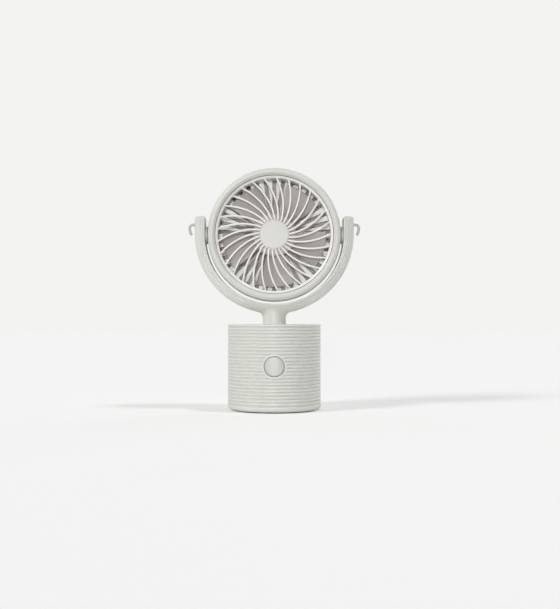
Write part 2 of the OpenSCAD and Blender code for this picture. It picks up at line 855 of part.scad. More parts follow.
// Right-hand arm above the centre of the outer arc, with a rounded top
module arm() {
    top = arm_rise - yoke_lift;
    across = yoke_out_r - section_r + 2 * over;
    intersection() {
        translate([0, yoke_lift, 0]) rotate([-90, 0, 0])
            linear_extrude(height = top) polygon(section_points());
        translate([0, 0, -yoke_w / 2 - over]) linear_extrude(height = yoke_w + 2 * over)
            rounded_top(yoke_in_r, yoke_out_r, yoke_lift - over, arm_rise, arm_round);
        translate([section_r - over, 0, 0]) rotate([0, 90, 0]) linear_extrude(height = across)
            rounded_top(-yoke_half_w, yoke_half_w, yoke_lift - over, arm_rise, arm_side_round);
    }
}

// Rectangle whose two upper corners are round
module rounded_top(x0, x1, y0, y1, r) {
    translate([x0, y0]) square([x1 - x0, y1 - y0 - r]);
    translate([x0 + r, y0]) square([x1 - x0 - 2 * r, y1 - y0]);
    for (x = [x0 + r, x1 - r]) translate([x, y1 - r]) circle(r = r);
}

// Half width of the blend between the neck and the yoke at a height from the tilt axis
function blend_half(y) =
    y < fillet_tip_y
        ? fillet_x - sqrt(max(0, pow(neck_fillet, 2) - pow(y - fillet_y, 2)))
        : blend_tip_half() + (neck_r * blend_neck_share - blend_tip_half())
            * (y - fillet_tip_y) / (blend_top_y - fillet_tip_y);
function blend_tip_half() = fillet_x * yoke_out_r / (yoke_out_r + neck_fillet);

// Loft from the round neck to the wide foot of the yoke
module neck_blend() {
    lows = [for (i = [0 : blend_steps]) fillet_y + (fillet_tip_y - fillet_y) * i / blend_steps];
    highs = [for (i = [1 : blend_high_steps])
        fillet_tip_y + (blend_top_y - fillet_tip_y) * i / blend_high_steps];
    rows = concat([fillet_y - over], lows, highs);
    deep = [for (y = rows) neck_r - blend_inset - max(0, y - fillet_tip_y) * blend_lean_share];
    wide = [for (y = rows) (y < fillet_y ? neck_r : blend_half(y)) - blend_inset];
    points = [for (k = [0 : len(rows) - 1], j = [0 : blend_sides - 1])
        let (a = 360 * j / blend_sides) [wide[k] * cos(a), rows[k], deep[k] * sin(a)]];
    sides = [for (k = [0 : len(rows) - 2], j = [0 : blend_sides - 1])
        let (next = (j + 1) % blend_sides, low = k * blend_sides, high = low + blend_sides)
        [low + j, low + next, high + next, high + j]];
    floor_face = [for (j = [blend_sides - 1 : -1 : 0]) j];
    roof_face = [for (j = [0 : blend_sides - 1]) (len(rows) - 1) * blend_sides + j];
    polyhedron(points, concat(sides, [floor_face, roof_face]));
}

module yoke_frame() {
    neck_top = pivot_z - strip_r;
    color(shell_colour) difference() {
        union() {
            at_pivot() {
                band();
                arm();
                mirror([1, 0, 0]) arm();
                neck_blend();
            }
            translate([0, 0, base_h]) cylinder(h = neck_top - base_h, d = neck_d);
            translate([0, 0, tenon_z]) cylinder(h = base_h - tenon_z + over, d = tenon_d);
            translate([-key_w / 2, 0, deck_z]) cube([key_w, tenon_d / 2 + key_t, deck_t + over]);
        }
        at_pivot() {
            // room for the head
            strip_shape(yoke_in_r, yoke_w, arm_rise + over);
            // seat of the inner cover
            strip_shape(strip_r + face_gap, strip_w / 2 + plug_gap, strip_top + plug_gap);
            // cable channel
            strip_shape(channel_r, channel_w / 2, strip_top - strip_t);
            for (side = [-1, 1]) translate([side * (yoke_out_r + over), hook_rise, 0])
                rotate([0, -side * 90, 0]) cylinder(h = hook_root_in + over + reed_depth, d = hook_root_d);
        }
        translate([0, 0, tenon_z - over])
            cylinder(h = pivot_z - strip_r - tenon_z, d = neck_bore);
    }
}

// Solid U from the tilt axis out to a radius, as wide as twice the half width, with straight arms
module strip_shape(r, half_w, top) {
    translate([0, 0, -half_w]) linear_extrude(height = 2 * half_w) {
        intersection() {
            circle(r = r);
            translate([-r, -r]) square([2 * r, r]);
        }
        translate([-r, 0]) square([2 * r, top]);
    }
}

module yoke_inner_cover() {
    color(shell_colour) at_pivot() difference() {
        strip_shape(strip_r, strip_w / 2, strip_top);
        difference() {
            strip_shape(yoke_in_r, strip_w, strip_top + over);
            for (side = [-1, 1]) translate([side * boss_face_x, 0, 0]) rotate([0, side * 90, 0])
                cylinder(h = yoke_gap + over, d = boss_d);
        }
        for (side = [-1, 1]) translate([side * (boss_face_x - over), 0, 0]) rotate([0, side * 90, 0])
            cylinder(h = yoke_gap + strip_t + 2 * over, d = journal_d + 2 * journal_gap);
    }
}

// Hook on the right-hand side of the yoke, open at its lower end
module hook() {
    bend_x = yoke_out_r + hook_out - hook_bend;
    bend_y = hook_rise - hook_bend;
    curl_x = bend_x + hook_bend - hook_curl_r;
    bend = [for (i = [0 : hook_steps]) let (a = 90 - 90 * i / hook_steps)
        [bend_x + hook_bend * cos(a), bend_y + hook_bend * sin(a), 0]];
    curl = [for (i = [1 : hook_steps]) let (a = -hook_curl_angle * i / hook_steps)
        [curl_x + hook_curl_r * cos(a), bend_y + hook_curl_r * sin(a), 0]];
    end = curl[hook_steps - 1];
    tip = end + hook_d * hook_tip_reach_share * unit(end - curl[hook_steps - 2]);
    color(trim_colour) at_pivot() {
        translate([yoke_out_r - hook_root_in, hook_rise, 0]) rotate([0, 90, 0])
            cylinder(h = hook_root_in + hook_collar, d = hook_root_d);
        wire(concat([[yoke_out_r, hook_rise, 0]], bend, curl, [tip]), hook_d, 16, hook_tip_share);
    }
}

module lanyard_hook_right() {
    hook();
}

module lanyard_hook_left() {
    mirror([1, 0, 0]) hook();
}

// Flanged hollow pin on the right-hand side
module pivot_pin() {
    translate([pin_end_x, 0, 0]) rotate([0, 90, 0]) difference() {
        union() {
            cylinder(h = shoulder_x - pin_end_x + over, d = tail_d);
            translate([0, 0, shoulder_x + face_gap - pin_end_x])
                cylinder(h = flange_x - shoulder_x, d = journal_d);
            translate([0, 0, flange_x - pin_end_x]) cylinder(h = flange_t, d = flange_d);
        }
        translate([0, 0, -over]) cylinder(h = flange_x + flange_t - pin_end_x + 2 * over, d = pin_bore);
    }
}

module pivot_pins() {
    color(metal_colour) at_pivot() for (turn = [0, 180]) rotate([0, 0, turn]) pivot_pin();
}

module pin_nuts() {
    color(metal_colour) at_pivot() for (turn = [0, 180]) rotate([0, 0, turn])
        translate([wall_pad_x - pin_nut_t, 0, 0]) rotate([0, 90, 0]) rotate([0, 0, 30]) difference() {
            cylinder(h = pin_nut_t, d = pin_nut_w / cos(30), $fn = 6);
            translate([0, 0, -over]) cylinder(h = pin_nut_t + 2 * over, d = tail_d + tail_fit);
        }
}

module friction_washers() {
    color(rubber_colour) at_pivot() for (turn = [0, 180]) rotate([0, 0, turn])
        translate([washer_x, 0, 0]) rotate([0, 90, 0])
            ring(journal_d / 2 + journal_gap, flange_d / 2, 0, washer_t);
}

module motor_lead_lower() {
    bend = cable_d * 1.2;
    low = tenon_z - pivot_z - cable_d * 2;
    end_z = -(board_y + board_t);
    end_y = board_low + board_h - board_edge - pivot_z;
    down = [for (i = [1 : lead_arc_steps - 1]) let (a = -90 * i / lead_arc_steps)
        cable_x * [cos(a), sin(a), 0]];
    color(rubber_colour) at_pivot()
        wire(concat([[cable_split_x, 0, 0]],
                    eased([[cable_x - bend * 1.01, 0, 0], [cable_x, 0, 0], down[0]], bend),
                    [for (i = [1 : len(down) - 2]) down[i]],
                    eased([down[len(down) - 1], [0, -cable_x, 0], [0, low, 0], [0, end_y, end_z - bend * 1.2],
                           [0, end_y, end_z]], bend)), cable_d);
}

module motor_lead_upper() {
    color(rubber_colour) at_pivot()
        wire(eased([[cable_split_x, 0, 0], [cable_r, 0, 0], [cable_r, 0, cable_z], [cable_hole_r, 0, cable_z],
                    [cable_hole_r, 0, motor_board_z]], cable_d * 0.6), cable_d);
}

// Section of the rear shell, radius to the right and front upwards
module rear_shell_section() {
    back_z = -head_back;
    difference() {
        union() {
            translate([0, back_z + head_round]) square([head_r, seam_front + head_back - head_round]);
            translate([0, back_z]) square([head_r - head_round, head_round + over]);
            translate([head_r - head_round, back_z + head_round]) circle(r = head_round);
            translate([0, rib_back]) square([duct_out_r, duct_front - rib_back]);
        }
        // room between the duct and the outer wall
        difference() {
            translate([duct_out_r, -void_back]) square([void_r - duct_out_r, void_back + crest_front]);
            difference() {
                translate([head_r - head_round, -void_back])
                    square([head_round, head_round - back_wall]);
                translate([head_r - head_round, head_round - head_back]) circle(r = head_round - head_wall);
            }
        }
        // fan chamber
        translate([0, rib_front]) square([duct_in_r, crest_front - rib_front]);
        // seat of the rear grille
        translate([0, back_z - over]) square([recess_r, head_back + rib_back + over]);
    }
}

module head_rear_shell() {
    color(shell_colour) at_pivot() difference() {
        union() {
            rotate_extrude() rear_shell_section();
            for (side = [-1, 1]) translate([side * wall_pad_x, 0, 0]) rotate([0, side * 90, 0])
                cylinder(h = head_r - wall_pad_x, d = wall_pad_d);
            for (a = head_screw_angles) rotate([0, 0, a]) translate([head_post_r, 0, -void_back - over])
                cylinder(h = head_post_back + void_back + over, d = head_post_d);
        }
        // slots between the ribs
        for (i = [0 : rear_rib_count - 1]) rotate([0, 0, 360 * (i + 0.5) / rear_rib_count])
            translate([seat_r, -rear_slot_w / 2, rib_back - over])
                cube([duct_in_r - seat_r, rear_slot_w, rear_rib_deep + 2 * over]);
        // the plate of the motor is thinner than the ribs
        translate([0, 0, rib_back - over])
            cylinder(h = rear_rib_deep - seat_t + over, r = seat_r - seat_rim);
        translate([0, 0, rib_back - over]) cylinder(h = rear_rib_deep + 2 * over, r = tube_r);
        translate([cable_hole_r, 0, rib_back - over])
            cylinder(h = rear_rib_deep + 2 * over, d = cable_d + 2 * plug_gap, $fn = 32);
        // passage of the motor cable behind the duct
        translate([recess_r - over, -notch_w / 2, cable_z - cable_d / 2 - plug_gap])
            cube([cable_r + cable_d - recess_r + over, notch_w, rib_back - cable_z + cable_d / 2 + plug_gap]);
        for (side = [-1, 1]) translate([side * pin_end_x, 0, 0]) rotate([0, side * 90, 0])
            cylinder(h = head_r - pin_end_x + over, d = tail_d + tail_fit);
        for (a = head_screw_angles) rotate([0, 0, a]) translate([head_post_r, 0, -head_back - over]) {
            cylinder(h = head_back + head_post_back + 2 * over, d = head_screw_d + screw_fit, $fn = 32);
            cylinder(h = head_back + head_seat_z + over, d = head_screw_head + screw_fit, $fn = 32);
        }
    }
}

// Section of the bezel, radius to the right and front upwards
function bezel_points() = concat(
    [for (i = [0 : bezel_steps])
        let (a = 90 * i / bezel_steps)
        [crest_r + (bezel_out_r - crest_r) * sin(a), seam_front + (crest_front - seam_front) * cos(a)]],
    [[void_r - plug_gap, seam_front],
     [void_r - plug_gap, seam_front - bezel_lip_h],
     [void_r - plug_gap - bezel_lip_t, seam_front - bezel_lip_h],
     [void_r - plug_gap - bezel_lip_t, duct_front - flange_w],
     [bezel_bore + flange_w, duct_front],
     [bezel_bore + flange_w, bezel_step_z],
     [bezel_bore, bezel_step_z],
     [bezel_bore, crest_front - bezel_groove_deep],
     [crest_r - (crest_r - bezel_bore) * 0.75, crest_front - bezel_groove_deep * 0.8],
     [crest_r - (crest_r - bezel_bore) * 0.2, crest_front - bezel_groove_deep * 0.1]]);

module front_bezel() {
    color(shell_colour) at_pivot() difference() {
        union() {
            rotate_extrude() polygon(bezel_points());
            for (a = head_screw_angles) rotate([0, 0, a])
                translate([head_post_r, 0, head_post_back + face_gap])
                cylinder(h = bezel_step_z + root_in - head_post_back, d = head_post_d);
        }
        for (a = head_screw_angles) rotate([0, 0, a])
            translate([head_post_r, 0, head_post_back + face_gap - over])
            cylinder(h = head_screw_l + over, d = head_screw_d + screw_fit, $fn = 32);
        // room for the nuts of the pivot pins
        for (turn = [0, 180]) rotate([0, 0, turn])
            translate([pin_end_x - over, -nut_room / 2, seam_front - bezel_lip_h - over])
            cube([void_r + over - pin_end_x, nut_room, nut_front - seam_front + bezel_lip_h + over]);
    }
}

// One swirling vane from r0 to r1, as a flat outline
module vane_outline(r0, r1, w, sweep) {
    rows = [for (i = [0 : vane_steps]) i / vane_steps];
    ease = vane_ease_share;
    mid = [for (u = rows) vane_start + sweep * u * (1 + ease - ease * u)];
    lean = [for (i = [0 : vane_steps])
        let (r = r0 + (r1 - r0) * rows[i], slope = sweep * (1 + ease - 2 * ease * rows[i]) / (r1 - r0))
        w / 2 / r * 180 / PI * sqrt(1 + pow(slope * PI / 180 * r, 2))];
    left = [for (i = [0 : vane_steps])
        let (r = r0 + (r1 - r0) * rows[i]) r * [cos(mid[i] + lean[i]), sin(mid[i] + lean[i])]];
    right = [for (i = [vane_steps : -1 : 0])
        let (r = r0 + (r1 - r0) * rows[i]) r * [cos(mid[i] - lean[i]), sin(mid[i] - lean[i])]];
    polygon(concat(left, right));
}

module front_grille() {
    back_z = grille_z - vane_deep;
    plate_top = grille_z - disc_sink - disc_t - face_gap;
    color(vane_colour) at_pivot() difference() {
        union() {
            ring(grille_in_r, grille_r, duct_front + face_gap, grille_z);
            ring(grille_in_r, grille_r + flange_w, duct_front + face_gap, duct_front + grille_flange_t);
            translate([0, 0, back_z]) cylinder(h = plate_top - back_z, r = hub_plate_r);
            for (i = [0 : vane_count - 1]) rotate([0, 0, -360 * i / vane_count])
                translate([0, 0, back_z]) linear_extrude(height = vane_deep)
                vane_outline(vane_inner, grille_in_r + vane_root, vane_w, vane_sweep);
        }
        for (a = head_screw_angles) rotate([0, 0, a]) translate([head_post_r, 0, duct_front - over])
            cylinder(h = grille_flange_t + 2 * over, d = head_post_d + 4 * plug_gap);
        for (a = peg_angles) rotate([0, 0, a]) translate([peg_ring, 0, back_z - over])
            cylinder(h = vane_deep + 2 * over, d = peg_d + peg_fit, $fn = 32);
    }
}

module front_hub_cap() {
    back_z = grille_z - disc_sink - disc_t;
    color(vane_colour) at_pivot() {
        translate([0, 0, back_z]) cylinder(h = disc_t, r = disc_r);
        for (a = peg_angles) rotate([0, 0, a]) translate([peg_ring, 0, back_z - peg_l])
            cylinder(h = peg_l + disc_t / 2, d = peg_d, $fn = 32);
    }
}

module intake_mesh() {
    reach = floor(net_out_r / net_pitch);
    color(net_colour) at_pivot() translate([0, 0, net_front - net_t]) {
        ring(net_out_r - net_rim, net_out_r, 0, net_t);
        ring(net_in_r, net_in_r + net_rim, 0, net_t);
        linear_extrude(height = net_t) intersection() {
            difference() {
                circle(r = net_out_r - net_rim / 2);
                circle(r = net_in_r + net_rim / 2);
            }
            for (turn = [0, 90], i = [-reach : reach]) rotate([0, 0, turn])
                translate([-net_out_r, (i + 0.5) * net_pitch - net_wire / 2])
                square([2 * net_out_r, net_wire]);
        }
    }
}

module rear_grille() {
    ring_front = net_front - net_t - face_gap;
    color(shell_colour) at_pivot() difference() {
        union() {
            ring(rear_ring_r - rear_ring_w, rear_ring_r, rear_face_z, ring_front);
            translate([0, 0, rear_face_z]) cylinder(h = rear_vane_t, r = rear_hub_r);
            ring(rear_boss_r - rear_boss_w, rear_boss_r, rear_face_z + rear_vane_t / 2,
                 rib_front - seat_t - face_gap);
            for (i = [0 : rear_vane_count - 1]) rotate([0, 0, 360 * i / rear_vane_count])
                translate([0, 0, rear_face_z]) linear_extrude(height = rear_vane_t)
                vane_outline(rear_hub_r - vane_root, rear_ring_r - rear_ring_w + vane_root,
                             rear_vane_w, rear_vane_sweep);
        }
        translate([rear_ring_r - rear_ring_w - over, -notch_w / 2, cable_z - cable_d / 2 - plug_gap])
            cube([rear_ring_w + 2 * over, notch_w, cable_d + net_t + plug_gap]);
    }
}

module head_screws() {
    color(metal_colour) at_pivot() for (a = head_screw_angles) rotate([0, 0, a])
        translate([head_post_r, 0, head_seat_z])
        screw(head_screw_d, head_screw_l - over, head_screw_head, head_screw_head_t);
}

// One blade between the hub and the tip circle
module blade() {
    r0 = hub_r - blade_root_in;
    back = fan_back + blade_back_gap;
    rise = fan_front - blade_front_gap - back - blade_t;
    rows = blade_rows;
    grid = [for (k = [0 : rows], i = [0 : blade_steps])
        let (u = i / blade_steps, v = k / rows, r = r0 + (blade_r - r0) * v,
             a = blade_start + blade_span * u + blade_taper * v * v * (1 - 2 * u),
             z = back + rise * (u + blade_camber_share * sin(180 * u)) * (1 - blade_wash_share * v))
        [r * cos(a), r * sin(a), z]];
    count = (rows + 1) * (blade_steps + 1);
    points = concat(grid, [for (p = grid) p + [0, 0, blade_t]]);
    wide = blade_steps + 1;
    under = [for (k = [0 : rows - 1], i = [0 : blade_steps - 1])
        let (p = k * wide + i) each [[p, p + 1, p + wide + 1], [p, p + wide + 1, p + wide]]];
    above = [for (f = under) [f[2] + count, f[1] + count, f[0] + count]];
    root = [for (i = [0 : blade_steps - 1]) let (p = i)
        each [[p + 1, p, p + count], [p + 1, p + count, p + 1 + count]]];
    tip = [for (i = [0 : blade_steps - 1]) let (p = rows * wide + i)
        each [[p, p + 1, p + 1 + count], [p, p + 1 + count, p + count]]];
    start = [for (k = [0 : rows - 1]) let (p = k * wide)
        each [[p, p + wide, p + wide + count], [p, p + wide + count, p + count]]];
    end = [for (k = [0 : rows - 1]) let (p = k * wide + blade_steps)
        each [[p + wide, p, p + count], [p + wide, p + count, p + wide + count]]];
    faces = concat(under, above, root, tip, start, end);
    polyhedron(points, [for (f = faces) [f[2], f[1], f[0]]]);
}

module impeller() {
    color(blade_colour) at_pivot() {
        difference() {
            union() {
                translate([0, 0, fan_back]) cylinder(h = fan_deep - hub_edge, r = hub_r);
                translate([0, 0, fan_front - hub_edge]) cylinder(h = hub_edge, r = hub_r - hub_edge);
                translate([0, 0, fan_front - hub_edge]) rotate_extrude()
                    translate([hub_r - hub_edge, 0]) intersection() {
                        circle(r = hub_edge);
                        square([hub_edge, hub_edge]);
                    }
            }
            translate([0, 0, fan_back - over])
                cylinder(h = fan_deep - fan_plate_t + over, r = hub_r - hub_wall);
        }
        for (i = [0 : blade_count - 1]) rotate([0, 0, 360 * i / blade_count]) blade();
    }
}

module rotor_cup() {
    color(metal_colour) at_pivot() difference() {
        union() {
            translate([0, 0, cup_front - cup_t]) cylinder(h = cup_t, r = cup_r);
            ring(magnet_r, cup_r, cup_back, cup_front - cup_t / 2);
            translate([0, 0, tube_front + cup_boss_gap])
                cylinder(h = cup_front - tube_front - cup_boss_gap, r = cup_boss_r);
        }
        translate([0, 0, tube_front - over]) cylinder(h = cup_front - tube_front + 2 * over, d = shaft_d);
    }
}

module rotor_magnet() {
    color(rubber_colour) at_pivot()
        ring(magnet_r - magnet_t, magnet_r, cup_back + magnet_edge, cup_front - cup_t);
}

module motor_shaft() {
    color(metal_colour) at_pivot() translate([0, 0, shaft_end])
        cylinder(h = cup_front - shaft_end, d = shaft_d);
}

module shaft_clip() {
    color(metal_colour) at_pivot() translate([0, 0, bearing_back_z - clip_t - face_gap]) difference() {
        cylinder(h = clip_t, r = clip_r);
        translate([0, 0, -over]) cylinder(h = clip_t + 2 * over, d = shaft_d);
        translate([0, -shaft_d * 0.35, -over]) cube([clip_r + over, shaft_d * 0.7, clip_t + 2 * over]);
    }
}

module bearing_tube() {
    color(brass_colour) at_pivot() ring(tube_in_r, tube_r, tube_back, tube_front);
}

module motor_bearings() {
    color(metal_colour) at_pivot() {
        ring(shaft_d / 2 + shaft_fit, tube_in_r, bearing_front_z - bearing_t, bearing_front_z);
        ring(shaft_d / 2 + shaft_fit, tube_in_r, bearing_back_z, bearing_back_z + bearing_t);
    }
}

module stator_core() {
    color(metal_colour) at_pivot() {
        ring(tube_r, tube_r + core_hub_t, stack_back, stack_front);
        for (i = [0 : tooth_count - 1]) rotate([0, 0, 360 * i / tooth_count])
            translate([tube_r + core_hub_t / 2, -tooth_w / 2, stack_back])
            cube([stator_r - shoe_t / 2 - tube_r - core_hub_t / 2, tooth_w, stack_t]);
        difference() {
            ring(stator_r - shoe_t, stator_r, stack_back, stack_front);
            for (i = [0 : tooth_count - 1]) rotate([0, 0, 360 * (i + 0.5) / tooth_count])
                translate([0, -slot_mouth / 2, stack_back - over])
                cube([stator_r + over, slot_mouth, stack_t + 2 * over]);
        }
    }
}

module stator_windings() {
    inner = tube_r + core_hub_t + winding_gap;
    hole_w = tooth_w + 2 * winding_gap;
    long = sqrt(pow(stator_r - shoe_t - winding_gap, 2) - pow(hole_w / 2 + winding_t, 2)) - inner;
    hole_t = stack_t + 2 * winding_gap;
    color(copper_colour) at_pivot() for (i = [0 : tooth_count - 1]) rotate([0, 0, 360 * i / tooth_count])
        translate([inner, 0, stack_back + stack_t / 2]) difference() {
            translate([0, -hole_w / 2 - winding_t, -hole_t / 2 - winding_t])
                cube([long, hole_w + 2 * winding_t, hole_t + 2 * winding_t]);
            translate([-over, -hole_w / 2, -hole_t / 2]) cube([long + 2 * over, hole_w, hole_t]);
        }
}

module motor_board() {
    color(board_colour) at_pivot()
        ring(tube_r + board_bore_gap, motor_board_r, motor_board_z, motor_board_z + motor_board_t);
}

base_shell();
bottom_cover();
foot_ring();
cover_screws();
power_button();
switch_plunger();
tact_switch();
control_board();
board_screws();
charge_board();
usb_c_socket();
battery_cell();
battery_pad();
battery_leads();
charge_leads();
neck_nut();
yoke_frame();
yoke_inner_cover();
lanyard_hook_left();
lanyard_hook_right();
pivot_pins();
pin_nuts();
friction_washers();
motor_lead_lower();
motor_lead_upper();
head_rear_shell();
front_bezel();
front_grille();
front_hub_cap();
intake_mesh();
rear_grille();
head_screws();
impeller();
rotor_cup();
rotor_magnet();
motor_shaft();
shaft_clip();
bearing_tube();
motor_bearings();
stator_core();
stator_windings();
motor_board();
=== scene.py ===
"""Dressed model of the pocket fan: pieces in mesh code round the CAD frame, materials, light and camera.

Lengths are millimetres and angles degrees unless a name or a comment says otherwise.
"""
import json
import math
import bpy
import bmesh
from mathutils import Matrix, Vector


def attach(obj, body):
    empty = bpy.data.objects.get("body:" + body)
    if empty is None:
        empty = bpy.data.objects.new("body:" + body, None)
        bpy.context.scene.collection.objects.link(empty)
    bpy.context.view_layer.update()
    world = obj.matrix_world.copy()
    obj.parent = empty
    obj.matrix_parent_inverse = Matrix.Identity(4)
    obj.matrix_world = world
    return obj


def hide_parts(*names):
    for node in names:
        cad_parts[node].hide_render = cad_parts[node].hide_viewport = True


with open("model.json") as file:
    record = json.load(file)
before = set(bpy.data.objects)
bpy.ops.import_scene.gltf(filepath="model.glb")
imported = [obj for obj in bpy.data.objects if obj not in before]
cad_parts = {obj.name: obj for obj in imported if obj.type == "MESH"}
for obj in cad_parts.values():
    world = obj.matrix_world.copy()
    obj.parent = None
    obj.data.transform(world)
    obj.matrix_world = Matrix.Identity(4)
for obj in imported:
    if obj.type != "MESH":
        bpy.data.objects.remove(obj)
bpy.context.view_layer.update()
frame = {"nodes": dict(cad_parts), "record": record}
NODES = frame["nodes"]
MM = 0.001
TURN = 2 * math.pi  # radians
QUARTER = math.pi / 2  # radians

# Sizes shared with the CAD, seen from the front at the tilt axis: x right, y up, f forward
PIVOT_Z = 108.5
BASE_H = 53.0
BUTTON_Z = 28.0
PORT_Z = 9.8
PORT_MOUTH_Y = 28.1
PORT_W = 8.94
PORT_H = 3.26
NECK_R = 7.2
YOKE_IN = 42.9
YOKE_OUT = 49.6
YOKE_HALF = 9.0
YOKE_LIFT = 0.7
SECTION_R = YOKE_IN - 0.6
BULGE = YOKE_OUT - SECTION_R
REEDS = 12
ARM_TOP = 11.6
ARM_ROUND = 1.3
ARM_SIDE_ROUND = 3.0
STRIP_R = YOKE_IN + 1.6
STRIP_HALF = 6.9
STRIP_TOP = 9.8
CHANNEL_R = STRIP_R + 3.1
CHANNEL_HALF = 4.9
CREST_R = 38.3
CREST_F = 10.0
SEAM_F = 3.0
BEZEL_OUT = 40.35
BEZEL_BORE = 36.75
GRILLE_R = 36.35
GRILLE_IN = 34.85
GRILLE_F = 8.2
VANE_DEEP = 2.3
DUCT_FRONT = 5.2
DISC_R = 9.07
FAN_FRONT = 4.9
FAN_BACK = -3.4
HUB_R = 13.5
BLADE_R = 32.4
NET_FRONT = -8.05
NET_BACK = -8.65
NET_OUT = 35.5
NET_IN = 17.4
REAR_BACK = -11.8
REAR_FRONT = -10.2
REAR_RING = 35.5
REAR_HUB = 12.5

# Trim that the CAD leaves plainer
FACE_OUT = 41.1
FACE_BACK = 7.1
RING_FALL = 1.1
REED_DEPTH = 0.7


# ---------------------------------------------------------------- places
def at(x, y, f):
    """Point in metres from a place seen from the front, measured from the tilt axis."""
    return (x * MM, -f * MM, (PIVOT_Z + y) * MM)


def polar(r, a, f):
    """Point round the fan's axis, a degrees from the right towards the top."""
    return at(r * math.cos(math.radians(a)), r * math.sin(math.radians(a)), f)


def beside(cx, cy):
    """The same as polar, round an axis through (cx, cy)."""
    return lambda r, a, f: at(cx + r * math.cos(math.radians(a)), cy + r * math.sin(math.radians(a)), f)


def up(r, a, z):
    """Point round the axis of the base, a degrees from the right towards the back."""
    return (r * math.cos(math.radians(a)) * MM, r * math.sin(math.radians(a)) * MM, z * MM)


# ---------------------------------------------------------------- lines
def smooth(t):
    """Ease from 0 to 1."""
    t = min(1.0, max(0.0, t))
    return t * t * (3 - 2 * t)


def steps(a, b, n):
    return [a + (b - a) * i / n for i in range(n + 1)]


def bezier(p, q, s, t):
    """Point at share t of the curve from p to s that q pulls at."""
    return tuple(a * (1 - t) ** 2 + 2 * b * t * (1 - t) + c * t * t for a, b, c in zip(p, q, s))


def rounded(points, radii, n):
    """Closed outline with its corners rounded in n steps; radii is one number or one for each corner."""
    most = 0.49  # share of a side that one rounding may take
    out = []
    m = len(points)
    if not isinstance(radii, (list, tuple)):
        radii = [radii] * m
    for i in range(m):
        p, q, s, r = points[i - 1], points[i], points[(i + 1) % m], radii[i]
        if r <= 0:
            out.append(q)
            continue
        a = (p[0] - q[0], p[1] - q[1])
        b = (s[0] - q[0], s[1] - q[1])
        la, lb = math.hypot(*a), math.hypot(*b)
        cut = min(r, la * most, lb * most)
        a = (a[0] / la * cut, a[1] / la * cut)
        b = (b[0] / lb * cut, b[1] / lb * cut)
        for t in steps(0, 1, n):
            out.append((q[0] + a[0] * (1 - t) ** 2 + b[0] * t ** 2,
                        q[1] + a[1] * (1 - t) ** 2 + b[1] * t ** 2))
    return out


def rim(r, f, radius, start, n, side=1):
    """Quarter round at the rim (r, f) of a disc, from start in radians; side is -1 at its back."""
    return [(r - radius + radius * math.cos(a), f - side * radius + side * radius * math.sin(a))
            for a in steps(start, QUARTER, n)]


def crown(r, f, rise, flat_r):
    """Slightly domed face from radius r to the axis."""
    return [(x, f + rise * (1 - (x / flat_r) ** 2)) for x in steps(r, 0, 8)]


